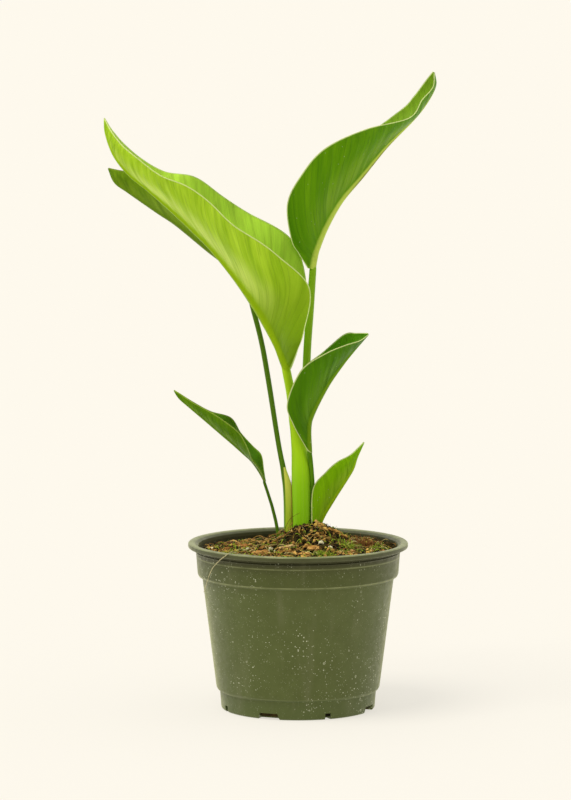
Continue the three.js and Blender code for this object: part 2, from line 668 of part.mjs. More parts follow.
function chipSolid([share, turn, length, width, heading, tilt], clearance = 0) {
  const [x, y] = place(share, turn);
  const [dx, dy, dz] = [length, width, CHIP_THICKNESS].map((d) => d / 2 + clearance);
  const corners = [
    [-1, -0.8],
    [-0.2, -1],
    [0.9, -0.9],
    [1, 0.2],
    [0.7, 1],
    [-0.5, 0.85],
    [-1, 0.3],
  ].map(([a, b]) => new THREE.Vector2(a * dx, b * dy));
  const chip = new THREE.ExtrudeGeometry(new THREE.Shape(corners), {
    depth: 2 * dz,
    bevelEnabled: false,
  });
  chip.translate(0, 0, -dz).rotateX(rad(tilt)).rotateZ(rad(heading));
  const slope = new THREE.Vector3(
    soilHeight(x - 4, y) - soilHeight(x + 4, y),
    soilHeight(x, y - 4) - soilHeight(x, y + 4),
    8,
  ).normalize();
  const lean = new THREE.Quaternion().setFromUnitVectors(new THREE.Vector3(0, 0, 1), slope);
  chip.applyQuaternion(lean);
  chip.translate(x, y, soilHeight(x, y) + CHIP_THICKNESS / 2 - CHIP_SINK);
  return solid(chip);
}

// Perlite grains: share of the radius, angle, and size against the usual grain.
const PERLITE = [
  [0.44, -58, 1.1],
  [0.54, -53, 0.95],
  [0.42, -133, 1.1],
  [0.52, -174, 0.9],
  [0.9, 171, 0.8],
  [0.6, 20, 1],
];

function perliteSolid([share, turn, size], clearance = 0) {
  const [x, y] = place(share, turn);
  const radius = PERLITE_RADIUS * size;
  const grain = new THREE.IcosahedronGeometry(radius + clearance, 0).rotateZ(rad(turn));
  return solid(grain.scale(1.2, 1, 0.85).translate(x, y, soilHeight(x, y) + radius * 0.4));
}

// Moss cushions, and tufts of coconut fibre: share of the radius, angle, and radius.
const MOSS = [
  [0.43, 16, 8],
  [0.57, -28, 8],
  [0.7, -69, 7],
  [0.62, 52, 9],
  [0.8, -150, 6],
  [0.85, -16, 7],
];
const FIBRE_TUFTS = [[0.7, -1, 8]];

function cushionSolid([share, turn, radius], clearance = 0) {
  const [x, y] = place(share, turn);
  const cushion = new THREE.SphereGeometry(1, 10, 5).scale(
    radius + clearance,
    radius * 0.8 + clearance,
    CUSHION_HEIGHT + clearance,
  );
  return solid(cushion.translate(x, y, soilHeight(x, y) + CUSHION_HEIGHT * 0.15));
}

// The loose root rests on the lip and hangs against the pot's side: each place is an angle
// from the front towards the left, a radius, and a height from the top of the lip.
function looseRootSolid() {
  const off = LOOSE_ROOT_RADIUS + CLEARANCE + 0.2;
  const collarRadius = BODY_TOP_RADIUS + COLLAR_STEP + BEAD + off;
  const along = [
    [33, soilRadius - 6, -SOIL_EDGE_DROP + 3 + off],
    [35, soilRadius, -1],
    [36.5, lipInnerRadius + 1, off],
    [38, rimRadius - 1, off],
    [40, rimRadius + off, -1.4],
    [44, rimRadius + off - 0.6, -LIP_HEIGHT - 1.4],
    [51, collarRadius + 3.4, -11.5],
    [56, collarRadius + 1.8, -18],
    [60, collarRadius + 0.8, -COLLAR_BOTTOM + 0.4],
    [67, collarRadius - 1, -COLLAR_BOTTOM - 8.5],
  ].map(([turn, r, z]) => onPlant([-Math.sin(rad(turn)) * r, -Math.cos(rad(turn)) * r, z]));
  const radiusAt = (t) => LOOSE_ROOT_RADIUS * lerp(1, 0.6, smooth(t));
  return rodSolid(catmull(along), radiusAt, 22, 6);
}

// ---------------------------------------------------------------- assembly

const material = (hex, roughness) =>
  new THREE.MeshStandardMaterial({ color: hex, roughness, metalness: 0 });

const MATERIALS = {
  pot: material(0x5a6236, 0.5),
  soil: material(0x2e2114, 1),
  crown: material(0xb58a5a, 0.9),
  bark: material(0x9a5a32, 0.95),
  perlite: material(0xe8e4d2, 0.9),
  moss: material(0x5f7422, 1),
  fibre: material(0xa9652c, 1),
  root: material(0xd8cf9c, 0.8),
  blade: material(0x5b9413, 0.42),
  stalk: material(0x7db414, 0.45),
};

const plant = new THREE.Group();

function addPiece(name, manifold, finish) {
  const mesh = new THREE.Mesh(geometryFrom(manifold), finish);
  mesh.name = name;
  plant.add(mesh);
}

const named = (list, prefix) =>
  list.map((item, i) => [`${prefix}_${String(i + 1).padStart(2, "0")}`, item]);
const chips = named(BARK_CHIPS, "bark_chip");
const grains = named(PERLITE, "perlite_grain");
const cushions = [...named(MOSS, "moss_cushion"), ...named(FIBRE_TUFTS, "fibre_tuft")];

// What stands or lies in the soil, each with room around it, is cut out of the soil.
let soil = soilSolid().subtract(crownSolid(CLEARANCE));
let crown = crownSolid();
const buried = [
  ...Object.values(STALKS).map((s) => stalkSolid(s, CLEARANCE)),
  bladeSolid(BLADES.young_right_blade, CLEARANCE),
];
for (const cutter of buried) {
  soil = soil.subtract(cutter);
  crown = crown.subtract(cutter);
}
for (const notch of notches) soil = soil.subtract(pocketOver(notch, POT_WALL + CLEARANCE));
for (const [, item] of chips) soil = soil.subtract(chipSolid(item, CLEARANCE));
for (const [, item] of grains) soil = soil.subtract(perliteSolid(item, CLEARANCE));
for (const [, item] of cushions) soil = soil.subtract(cushionSolid(item, CLEARANCE));

addPiece("nursery_pot", potSolid(), MATERIALS.pot);
addPiece("potting_soil", largest(soil), MATERIALS.soil);
addPiece("root_crown", largest(crown), MATERIALS.crown);
for (const [name, leaf] of Object.entries(BLADES)) {
  addPiece(name, bladeSolid(leaf), MATERIALS.blade);
}
for (const [name, stalk] of Object.entries(STALKS)) {
  addPiece(name, stalkSolid(stalk), MATERIALS.stalk);
}
for (const [name, item] of chips) addPiece(name, chipSolid(item), MATERIALS.bark);
for (const [name, item] of grains) addPiece(name, perliteSolid(item), MATERIALS.perlite);
for (const [name, item] of cushions) {
  const finish = name.startsWith("moss") ? MATERIALS.moss : MATERIALS.fibre;
  addPiece(name, cushionSolid(item), finish);
}
addPiece("loose_root", looseRootSolid(), MATERIALS.root);

export default plant;
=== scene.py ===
"""Looks of a young bird of paradise in an olive green nursery pot.

The tables are in millimetres and the meshes in metres. +Z is up, the camera looks along +Y,
and the origin is the centre of the pot's underside.
"""

import math

import bmesh
import bpy
import numpy as np
from mathutils import Matrix, Vector


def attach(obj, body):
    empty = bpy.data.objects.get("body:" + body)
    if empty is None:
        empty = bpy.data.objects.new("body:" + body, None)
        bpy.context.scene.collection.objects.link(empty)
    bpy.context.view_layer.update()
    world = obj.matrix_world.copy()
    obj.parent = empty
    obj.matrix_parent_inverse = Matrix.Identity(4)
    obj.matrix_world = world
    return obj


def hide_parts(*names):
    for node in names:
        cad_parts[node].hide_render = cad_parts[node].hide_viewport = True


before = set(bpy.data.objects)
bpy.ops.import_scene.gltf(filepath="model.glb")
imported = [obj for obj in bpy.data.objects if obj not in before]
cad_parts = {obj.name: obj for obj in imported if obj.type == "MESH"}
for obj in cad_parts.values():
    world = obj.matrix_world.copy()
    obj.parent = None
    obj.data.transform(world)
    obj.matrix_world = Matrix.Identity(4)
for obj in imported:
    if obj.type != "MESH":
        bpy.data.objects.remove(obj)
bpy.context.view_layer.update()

MM = 0.001

# ---- sizes of the pot and the soil

CLEARANCE = 0.5
POT_HEIGHT = 125
BODY_TOP_RADIUS = 71.8
BODY_TAPER = 7.1
POT_WALL = 1.6
FOOT_HEIGHT = 15.5
FOOT_STEP = 2.6
FOOT_TAPER = 4
COLLAR_BOTTOM = POT_HEIGHT - 25
COLLAR_TOP = POT_HEIGHT - 6.4
COLLAR_STEP = 3.4
COLLAR_FLARE = 1.2
BEAD = 0.6
LIP_OVERHANG = 5.9
LIP_BOTTOM = POT_HEIGHT - 3.8
LIP_TOP_WIDTH = 4.2
LIP_INNER_DROP = 1.9
LEDGE_WIDTH = 2
EDGE = 0.8
CORNER = 0.5
STEP_RISE = 1.8
NOTCH_COUNT = 8
NOTCH_FIRST = 22.5
NOTCH_WIDE = 18
NOTCH_NARROW = 4.6
NOTCH_HEIGHT = 4.6
NOTCH_DEPTH = 8
NOTCH_SLOPE = 2
DRAIN_WIDTH = 8
DRAIN_HEIGHT = 2.2
POCKET_LOW = 0.5  # where a notch's pocket starts, over the floor
POCKET_INSET = 1.2  # and inwards from the foot's outside
CUT_PAST = 1  # how far a cut reaches past what it cuts
POT_SEGMENTS = 200

NECK_RADIUS = BODY_TOP_RADIUS + COLLAR_STEP + COLLAR_FLARE
RIM_RADIUS = NECK_RADIUS + LIP_OVERHANG
BODY_LOW_RADIUS = BODY_TOP_RADIUS - (COLLAR_BOTTOM - FOOT_HEIGHT) * math.tan(math.radians(BODY_TAPER))
FOOT_TOP_RADIUS = BODY_LOW_RADIUS - FOOT_STEP
FOOT_RADIUS = FOOT_TOP_RADIUS - FOOT_HEIGHT * math.tan(math.radians(FOOT_TAPER))
INSIDE_RADIUS = NECK_RADIUS - POT_WALL
SOIL_RADIUS = INSIDE_RADIUS - LEDGE_WIDTH - CLEARANCE

SOIL_EDGE_DROP = 6
SOIL_TILT = 1.6
MOUND_HEIGHT = 20.5
MOUND_RADIUS = 25
MOUND_OFFSET = 9
LEDGE_COVER = 1.9  # how far the soil spreads over the pot's inner ledge
LEDGE_GAP = 0.2
SOIL_TURNS = 360
SOIL_RINGS = 120

# ---- small helpers


def unit(vectors):
    """Rows of vectors at length one."""
    return vectors / np.maximum(np.linalg.norm(vectors, axis=-1, keepdims=True), 1e-9)


def along_curve(points, shares):
    """Points at even shares of a Catmull-Rom curve through the given points."""
    points = np.asarray(points, float)
    count = len(points)
    padded = np.vstack([2 * points[0] - points[1], points, 2 * points[-1] - points[-2]])
    where = np.clip(shares, 0, 1) * (count - 1)
    first = np.minimum(where.astype(int), count - 2)
    t = (where - first)[:, None]
    before, a, b, after = (padded[first + k] for k in range(4))
    leave, arrive = (b - before) / 2, (after - a) / 2
    square = (3 * (b - a) - 2 * leave - arrive) * t**2
    return a + leave * t + square + (2 * (a - b) + leave + arrive) * t**3


def travelled(line):
    """The length of a line from its start to each of its points."""
    return np.concatenate([[0], np.cumsum(np.linalg.norm(np.diff(line, axis=0), axis=1))])


LUMP_CELLS = 64
LUMP_TABLE = np.random.default_rng(7).random((LUMP_CELLS, LUMP_CELLS))


def lumps(x, y, size, layer=0):
    """Smooth unevenness between -1 and 1 over a plane, with lumps of that size."""
    u, v = np.asarray(x) / size + 17.3 * layer, np.asarray(y) / size + 31.7 * layer
    i, j = np.floor(u).astype(int), np.floor(v).astype(int)
    a, b = u - i, v - j
    a, b = a * a * (3 - 2 * a), b * b * (3 - 2 * b)

    def corner(right, up):
        return LUMP_TABLE[(i + right) % LUMP_CELLS, (j + up) % LUMP_CELLS]

    low = corner(0, 0) * (1 - a) + corner(1, 0) * a
    high = corner(0, 1) * (1 - a) + corner(1, 1) * a
    return 2 * (low * (1 - b) + high * b) - 1


def make_object(name, points, faces, look, sharp=None, **values):
    """An object from points in millimetres, with named values stored at its points."""
    mesh = bpy.data.meshes.new(name)
    mesh.from_pydata((np.asarray(points, float) * MM).tolist(), [], [list(map(int, f)) for f in faces])
    mesh.validate()
    for key, numbers in values.items():
        layer = mesh.attributes.new(key, "FLOAT", "POINT")
        layer.data.foreach_set("value", np.asarray(numbers, np.float32).ravel())
    mesh.shade_smooth()
    if sharp is not None:
        mesh.set_sharp_from_angle(angle=math.radians(sharp))
    made = bpy.data.objects.new(name, mesh)
    bpy.context.scene.collection.objects.link(made)
    mesh.materials.append(look)
    return made


def piece(made, slot, *nodes):
    """Declares an object as part of the plant, shown instead of the given CAD nodes."""
    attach(made, "root")
    if nodes:
        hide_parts(*nodes)


def strip_faces(rows, columns, start=0, around=False, flip=False):
    """Four-sided faces between neighbouring rows of a grid of points."""
    i, j = np.meshgrid(np.arange(rows - 1), np.arange(columns if around else columns - 1), indexing="ij")
    near, far = i * columns + j, i * columns + (j + 1) % columns
    faces = np.stack([near, far, far + columns, near + columns], -1).reshape(-1, 4) + start
    return (faces[:, ::-1] if flip else faces).tolist()


def rod_faces(rows, columns):
    """Faces of a rod from rings of points, with both ends closed."""
    ends = [list(range(columns))[::-1], list(range((rows - 1) * columns, rows * columns))]
    return strip_faces(rows, columns, around=True) + ends


def tubes(paths, radii, sides):
    """Round tapering rods, with closed ends, along many paths of the same length."""
    paths, radii = np.asarray(paths, float), np.asarray(radii, float)
    count, steps = radii.shape
    tangent = unit(np.gradient(paths, axis=1))
    helper = np.where(np.abs(tangent[..., 2:]) > 0.8, [[[1.0, 0, 0]]], [[[0, 0, 1.0]]])
    side = unit(np.cross(tangent, helper))
    other = np.cross(tangent, side)
    turn = np.arange(sides) / sides * 2 * math.pi
    wheel = side[:, :, None] * np.cos(turn)[:, None] + other[:, :, None] * np.sin(turn)[:, None]
    points = paths[:, :, None] + wheel * radii[:, :, None, None]
    single = rod_faces(steps, sides)
    starts = range(0, count * steps * sides, steps * sides)
    faces = [[start + i for i in f] for start in starts for f in single]
    return points.reshape(-1, 3), faces


def strand(name, route, look, slot, nodes, steps, sides, thick, taper, wave=0.0, waves=30, knots=0.0, tone=1):
    """One long fibre through a list of points, thinner towards its end.

    Wave is how far it strays, waves how often, knots how uneven its thickness is, and tone
    how much its tint grows along it.
    """
    t = np.linspace(0, 1, steps)
    path = along_curve(route, t)
    path = path + wave * np.stack([lumps(t * waves, 0 * t, 1, k) for k in (1, 2, 3)], -1)
    radii = thick * (1 - taper * t) * (1 + knots * lumps(t * 90, 0 * t, 1, 4))
    points, faces = tubes([path], [radii], sides)
    piece(make_object(name, points, faces, look, tint=tone * t.repeat(sides)), slot, *nodes)


FULL_TURN = 6.283  # radians, near enough for random headings


def crumbs(places, sizes, detail, seed, stretch=0.45):
    """Many small irregular lumps in one mesh."""
    rng = np.random.default_rng(seed)
    ball = bmesh.new()
    bmesh.ops.create_icosphere(ball, subdivisions=detail, radius=1)
    base = np.array([v.co for v in ball.verts])
    base_faces = np.array([[v.index for v in f.verts] for f in ball.faces])
    ball.free()
    count = len(places)
    shape = base[None] * (1 + 0.28 * (rng.random((count, len(base), 1)) - 0.5))
    shape = shape * (1 + stretch * (rng.random((count, 1, 3)) - 0.5))
    axis, angle = unit(rng.normal(size=(count, 3)))[:, None], (rng.random(count) * FULL_TURN)[:, None, None]
    turned = shape * np.cos(angle) + np.cross(axis, shape) * np.sin(angle)
    turned += axis * (np.sum(axis * shape, -1, keepdims=True) * (1 - np.cos(angle)))
    points = np.asarray(places)[:, None] + turned * np.asarray(sizes)[:, None, None]
    faces = base_faces[None] + (np.arange(count) * len(base))[:, None, None]
    return points.reshape(-1, 3), faces.reshape(-1, 3), np.repeat(rng.random(count), len(base))


# ---- materials


class Look:
    """Procedural shading for a material, or for another owner of nodes, built node by node."""

    def __init__(self, name, owners=None, space="Object"):
        self.owner = (bpy.data.materials if owners is None else owners).new(name)
        self.owner.use_nodes = True
        self.tree = self.owner.node_tree
        self.tree.nodes.clear()
        self.place = self.add("TexCoord").outputs[space]

    def add(self, kind, inputs=None, **settings):
        made = self.tree.nodes.new("ShaderNode" + kind)
        for key, value in settings.items():
            setattr(made, key, value)
        for key, value in (inputs or {}).items():
            self.put(made.inputs[key], value)
        return made

    def put(self, socket, value):
        if isinstance(value, bpy.types.NodeSocket):
            self.tree.links.new(value, socket)
        elif hasattr(value, "__len__") and len(value) == 3 and socket.type == "RGBA":
            socket.default_value = (*value, 1)
        else:
            socket.default_value = value

    def value(self, name):
        """A value stored at the mesh's points."""
        return self.add("Attribute", attribute_name=name).outputs["Fac"]

    def math(self, operation, a, b=0.0):
        return self.add("Math", {0: a, 1: b}, operation=operation).outputs[0]

    def times(self, a, *others):
        for b in others:
            a = self.math("MULTIPLY", a, b)
        return a

    def plus(self, a, b):
        return self.math("ADD", a, b)

    def distance(self, a, b):
        return self.math("ABSOLUTE", self.math("SUBTRACT", a, b))

    def step(self, value, low, high, to_low=0.0, to_high=1.0):
        """Moves smoothly from one output to the other as the value goes from low to high."""
        inputs = {"Value": value, "From Min": low, "From Max": high, "To Min": to_low, "To Max": to_high}
        return self.add("MapRange", inputs, interpolation_type="SMOOTHSTEP").outputs["Result"]

    def noise(self, scale, detail=2.0, rough=0.5, at=None):
        inputs = {"Vector": at or self.place, "Scale": scale, "Detail": detail, "Roughness": rough}
        return self.add("TexNoise", inputs).outputs["Fac"]

    def cells(self, scale, channel=0):
        """Scattered cells: the distance to each one's middle, and a number that it has by chance."""
        cells = self.add("TexVoronoi", {"Vector": self.place, "Scale": scale}, feature="F1")
        pick = self.add("SeparateColor", {0: cells.outputs["Color"]}).outputs[channel]
        return cells.outputs["Distance"], pick

    def vector(self, x, y, z=0.0):
        return self.add("CombineXYZ", {0: x, 1: y, 2: z}).outputs[0]

    def stretched(self, x, y, z):
        return self.add("VectorMath", {0: self.place, 1: (x, y, z)}, operation="MULTIPLY").outputs[0]

    def part(self, axis):
        return self.add("SeparateXYZ", {0: self.place}).outputs[axis]

    def mix(self, share, a, b):
        made = self.add("Mix", data_type="RGBA")
        colours = [s for s in made.inputs if s.type == "RGBA"]
        for socket, value in ((made.inputs[0], share), (colours[0], a), (colours[1], b)):
            self.put(socket, value)
        return [s for s in made.outputs if s.type == "RGBA"][0]

    def bump(self, height, distance, strength=1.0):
        inputs = {"Height": height, "Distance": distance, "Strength": strength}
        return self.add("Bump", inputs).outputs["Normal"]

    def finish(self, colour, rough, bump, through=None, through_share=0.0, **sockets):
        inputs = {"Base Color": colour, "Roughness": rough, "Normal": bump}
        inputs.update({key.replace("_", " "): value for key, value in sockets.items()})
        shader = self.add("BsdfPrincipled", inputs).outputs[0]
        if through is not None:
            light = self.add("BsdfTranslucent", {"Color": through}).outputs[0]
            shader = self.add("MixShader", {0: through_share, 1: shader, 2: light}).outputs[0]
        self.add("OutputMaterial", {"Surface": shader})
        return self.owner


def dimmed(colour, share):
    return tuple(share * c for c in colour)


# Heights in metres along which pale highlights are painted on the pot's edges, and how strongly.
EDGE_HIGHLIGHTS = ((0.0152, 0.15), (0.1008, 0.5), (0.1148, 0.4), (0.1248, 0.5))
# Dried drops: cells to the metre, the ring's inner and outer edge, and the share left clean.
DRIED_DROPS = ((260, 0.13, 0.22, 0.93), (480, 0.06, 0.22, 0.88), (800, 0.0, 0.25, 0.83))


def pot_look():
    look = Look("olive_plastic")
    height = look.part(2)
    dust = look.noise(70, 4, 0.65)
    wall = look.mix(dust, (0.036, 0.054, 0.007), (0.072, 0.1, 0.026))
    foot = look.mix(dust, (0.038, 0.06, 0.01), (0.062, 0.092, 0.025))
    collar = look.mix(dust, (0.026, 0.04, 0.004), (0.05, 0.07, 0.014))
    lip = look.mix(dust, (0.016, 0.02, 0.006), (0.05, 0.06, 0.026))
    colour = look.mix(look.step(height, 0.0145, 0.0165), foot, wall)
    colour = look.mix(look.step(height, 0.099, 0.101), colour, collar)
    # Painted shade: the collar darkens towards its top, where the lip casts its shadow.
    colour = look.mix(look.step(height, 0.1085, 0.1165, 0.0, 0.6), colour, (0.014, 0.02, 0.002))
    # The neck under the lip and the lip's foot get painted shade; pale highlights are painted along the
    # edges.
    colour = look.mix(look.step(height, 0.1145, 0.118), colour, (0.006, 0.009, 0.001))
    colour = look.mix(look.step(height, 0.1203, 0.121), colour, lip)
    # Painted highlight: a pale, patchy line along each of these edges.
    for edge, share in EDGE_HIGHLIGHTS:
        edge_highlight = look.times(look.step(look.distance(height, edge), 0.00075, 0.0002), share)
        edge_highlight = look.times(edge_highlight, look.step(look.noise(90, 3, 0.6), 0.3, 0.6, 0.5, 1.0))
        colour = look.mix(edge_highlight, colour, (0.34, 0.37, 0.17))
    streaks = look.noise(1, 3, 0.6, look.stretched(60, 60, 9))
    colour = look.mix(look.times(look.step(streaks, 0.52, 0.78), 0.3), colour, (0.145, 0.15, 0.085))
    # Dried water drops: pale rings with a thin white edge, and fine white specks.
    marks = 0.0
    for scale, low, high, clean in DRIED_DROPS:
        away, pick = look.cells(scale)
        ring = look.times(look.step(away, low, low + 0.06), look.step(away, high + 0.05, high))
        marks = look.math("MAXIMUM", marks, look.times(ring, look.step(pick, clean, clean + 0.04)))
    marks = look.times(marks, look.step(look.noise(26, 3, 0.6), 0.44, 0.64, 0.1, 1.0))
    away, pick = look.cells(1500)
    dots = look.times(look.step(away, 0.3, 0.1), look.step(pick, 0.93, 0.96), 0.8)
    below_lip = look.step(height, 0.1205, 0.1195)
    marks = look.times(look.math("MAXIMUM", marks, dots), below_lip)
    colour = look.mix(look.times(marks, 0.9), colour, (0.62, 0.64, 0.46))
    grain = look.plus(look.times(look.noise(1500, 2, 0.6), 0.5), marks)
    rough = look.step(look.noise(240, 3), 0.3, 0.7, 0.36, 0.52)
    return look.finish(
        colour, rough, look.bump(grain, 0.00012, 0.5), Specular_IOR_Level=0.7, Specular_Tint=(1.0, 0.97, 0.5),
        Sheen_Weight=0.5, Sheen_Roughness=0.3, Sheen_Tint=(0.82, 0.84, 0.42),
    )


def soil_look(name, dark, light):
    look = Look(name)
    fine = look.noise(1200, 3, 0.7)
    share = look.plus(look.times(look.noise(160, 4, 0.7), 0.5), look.times(look.value("tint"), 0.6))
    colour = look.mix(look.step(share, 0.2, 0.85), dark, light)
    colour = look.mix(look.step(fine, 0.62, 0.75), colour, light)
    return look.finish(colour, 0.95, look.bump(fine, 0.0006), Specular_IOR_Level=0.15)


def fibre_look(name, dark, light):
    """Bark, husk, hair and wood: streaks and tones between two colours."""
    look = Look(name)
    streak = look.noise(1, 3, 0.7, look.stretched(300, 2400, 1800))
    share = look.plus(look.times(look.noise(500, 3, 0.65), 0.55), look.times(look.value("tint"), 0.45))
    colour = look.mix(look.step(share, 0.2, 0.8), dark, light)
    colour = look.mix(look.times(look.step(streak, 0.55, 0.4), 0.55), colour, dimmed(dark, 0.3))
    return look.finish(colour, 0.85, look.bump(streak, 0.0005), Specular_IOR_Level=0.2)


def perlite_look():
    look = Look("white_perlite")
    pits = look.noise(1800, 3, 0.7)
    colour = look.mix(look.step(pits, 0.35, 0.6), (0.62, 0.52, 0.26), (0.96, 0.93, 0.62))
    return look.finish(colour, 0.9, look.bump(pits, 0.0008), Specular_IOR_Level=0.1)


def moss_look(name, dark, light):
    look = Look(name)
    share = look.times(look.plus(look.times(look.noise(300, 3), 0.6), look.value("tint")), 0.65)
    colour = look.mix(look.step(share, 0.15, 0.85), dark, light)
    return look.finish(colour, 0.8, look.bump(look.noise(3000, 1), 0.0003), light, 0.2)


def leaf_look(name, dark, light, band, inside, rib, margin, sheen, spots=0.0, red=0.0, base=0.0):
    """A leaf: tones that follow the side veins, partly painted shade and light of the folds
    between them, a pale band of painted sheen by the midrib and a pale margin.

    The last four are the strengths of the painted sheen, of pale spots, of a reddish line
    along the midrib, and of the darkening at the leaf's foot.
    """
    look = Look(name)
    vein, across, along = look.value("vein"), look.value("across"), look.value("along")
    away = look.math("ABSOLUTE", across)

    def streaks(detail, rough, by_vein, by_across, layer=0.0):
        at = look.vector(look.times(vein, by_vein), look.times(across, by_across), layer)
        return look.noise(1, detail, rough, at)

    # Broad light and dark streaks along the side veins, on both faces: partly the leaf's own tone, partly
    # painted shade and light of the folds between the veins.
    wide = streaks(2, 0.55, 0.11, 1.2)
    lines = streaks(3, 0.75, 0.75, 2)
    tone = look.plus(look.step(wide, 0.2, 0.8), look.times(look.step(lines, 0.3, 0.7), 0.5))
    tone = look.times(tone, 0.67)
    outer = look.mix(tone, dark, light)
    # Painted sheen: a pale band beside the midrib, on the upper part of the leaf.
    rib_sheen = look.times(
        look.step(away, 0.02, 0.16), look.step(away, 0.62, 0.22), look.step(wide, 0.3, 0.62, 0.45, 1.0),
        look.step(along, 0.1, 0.3), look.step(along, 0.97, 0.7), sheen,
    )
    outer = look.mix(rib_sheen, outer, band)
    outer = look.mix(look.times(look.step(along, 0.34, 0.06), base), outer, dimmed(dark, 0.62))
    # Painted highlight on the tops of thin raised side veins, and painted shade in fine dark furrows.
    crest_highlight = look.times(look.step(lines, 0.6, 0.68), look.step(away, 0.9, 0.3), 0.14)
    outer = look.mix(crest_highlight, outer, band)
    furrow = look.step(look.distance(streaks(1, 0.5, 0.26, 0.4, 7), 0.5), 0.022, 0.0)
    furrow = look.times(furrow, look.step(away, 0.02, 0.15))
    outer = look.mix(look.times(furrow, 0.3), outer, dimmed(dark, 0.6))
    inner = look.mix(tone, dimmed(inside, 0.7), dimmed(inside, 1.15))
    inner = look.mix(look.times(furrow, 0.35), inner, dimmed(inside, 0.5))
    colour = look.mix(look.value("inside"), outer, inner)
    from_rib = look.value("rib")
    middle = look.times(look.step(from_rib, 1.15, 0.55), look.step(along, 1.0, 0.8))
    colour = look.mix(middle, colour, rib)
    if red:
        halfway = look.times(look.step(along, 0.3, 0.45), look.step(along, 0.75, 0.6))
        line = look.times(look.step(from_rib, 0.5, 0.15), halfway, red)
        colour = look.mix(line, colour, (0.14, 0.07, 0.02))
    colour = look.mix(look.step(look.value("edge"), 0.95, 0.5), colour, margin)
    if spots:
        apart, pick = look.cells(420, 1)
        dots = look.times(look.step(apart, 0.16, 0.06), look.step(pick, 0.86, 0.9), spots)
        colour = look.mix(dots, colour, (0.7, 0.74, 0.45))
    relief = look.plus(look.times(lines, 0.6), look.times(look.noise(2500, 1), 0.06))
    relief = look.math("SUBTRACT", relief, look.times(furrow, 0.5))
    return look.finish(
        colour, look.step(wide, 0.3, 0.7, 0.42, 0.32), look.bump(relief, 0.00035, 0.8),
        look.mix(0.5, colour, light), 0.25, Specular_IOR_Level=0.32, Specular_Tint=(0.75, 1.0, 0.12),
    )


def stalk_look(name, low, high, change, share, pale=(0.5, 0.62, 0.12)):
    """A stalk: one colour below the change of height and one above, with fine lengthwise lines.

    The change is from and to a height over the pot's lip, in metres.
    """
    look = Look(name)
    lines = look.noise(1, 2, 0.7, look.vector(look.times(look.value("around"), 26), 0.0))
    height = look.plus(look.part(2), look.times(look.noise(55, 3, 0.6), 0.012))
    colour = look.mix(look.step(height, *(POT_HEIGHT * MM + h for h in change)), low, high)
    colour = look.mix(look.times(look.step(lines, 0.35, 0.65), share), colour, look.mix(0.5, colour, pale))
    lip = look.times(look.step(look.value("lip"), 0.9, 0.97), look.value("open"))
    colour = look.mix(lip, colour, pale)
    grain = look.plus(lines, look.times(look.noise(2200, 1), 0.15))
    return look.finish(
        colour, 0.4, look.bump(grain, 0.0002, 0.7), colour, 0.15,
        Specular_IOR_Level=0.3, Specular_Tint=(0.8, 1.0, 0.12),
    )


# ---- pot


def rounded(profile, reach, steps=4):
    """A profile with each corner turned into a small arc."""
    made = [profile[0]]
    for corners in zip(profile, profile[1:], profile[2:]):
        before, corner, after = np.array(corners, float)
        to_before, to_after = before - corner, after - corner
        near = min(reach, 0.45 * np.linalg.norm(to_before), 0.45 * np.linalg.norm(to_after))
        start, end = corner + unit(to_before) * near, corner + unit(to_after) * near
        for t in np.linspace(0, 1, steps + 1):
            made.append(tuple((1 - t) ** 2 * start + 2 * t * (1 - t) * corner + t**2 * end))
    return made + [profile[-1]]


def lathe(profile, segments):
    """Points and faces of a profile of (radius, height) turned around Z, closed on the axis."""
    turn = np.arange(segments) / segments * 2 * math.pi
    radius, height = np.array(profile[1:-1]).T[:, :, None]
    rings = np.stack([radius * np.cos(turn), radius * np.sin(turn), height + 0 * turn], -1)
    points = np.vstack([rings.reshape(-1, 3), [0, 0, profile[0][1]], [0, 0, profile[-1][1]]])
    faces = strip_faces(len(radius), segments, around=True)
    last = (len(radius) - 1) * segments
    low, high = len(points) - 2, len(points) - 1
    for j in range(segments):
        faces.append([low, (j + 1) % segments, j])
        faces.append([high, last + j, last + (j + 1) % segments])
    return points, faces


def block(half, slope, low, high, start, depth, turn):
    """A trapezoid block that reaches inwards through the pot's foot."""
    corners = []
    for y in (-FOOT_RADIUS - start, -FOOT_RADIUS + depth):
        for x, z in ((-half, low), (half, low), (half - slope, high), (-half + slope, high)):
            across = x * math.cos(turn) - y * math.sin(turn)
            corners.append((across, x * math.sin(turn) + y * math.cos(turn), z))
    return corners, [[0, 1, 2, 3], [5, 4, 7, 6], [1, 0, 4, 5], [2, 1, 5, 6], [3, 2, 6, 7], [0, 3, 7, 4]]


def combine(base, blocks, operation, look):
    """Adds the blocks to the base's shape, or cuts them out."""
    points = [p for corners, _ in blocks for p in corners]
    faces = [[8 * k + i for i in f] for k, (_, sides) in enumerate(blocks) for f in sides]
    tool = make_object("tool", points, faces, look)
    change = base.modifiers.new("cut", "BOOLEAN")
    change.object = tool
    change.operation = operation
    change.solver = "EXACT"
    evaluated = base.evaluated_get(bpy.context.evaluated_depsgraph_get())
    made = bpy.data.meshes.new_from_object(evaluated)
    base.modifiers.clear()
    base.data = made
    bpy.data.objects.remove(tool)


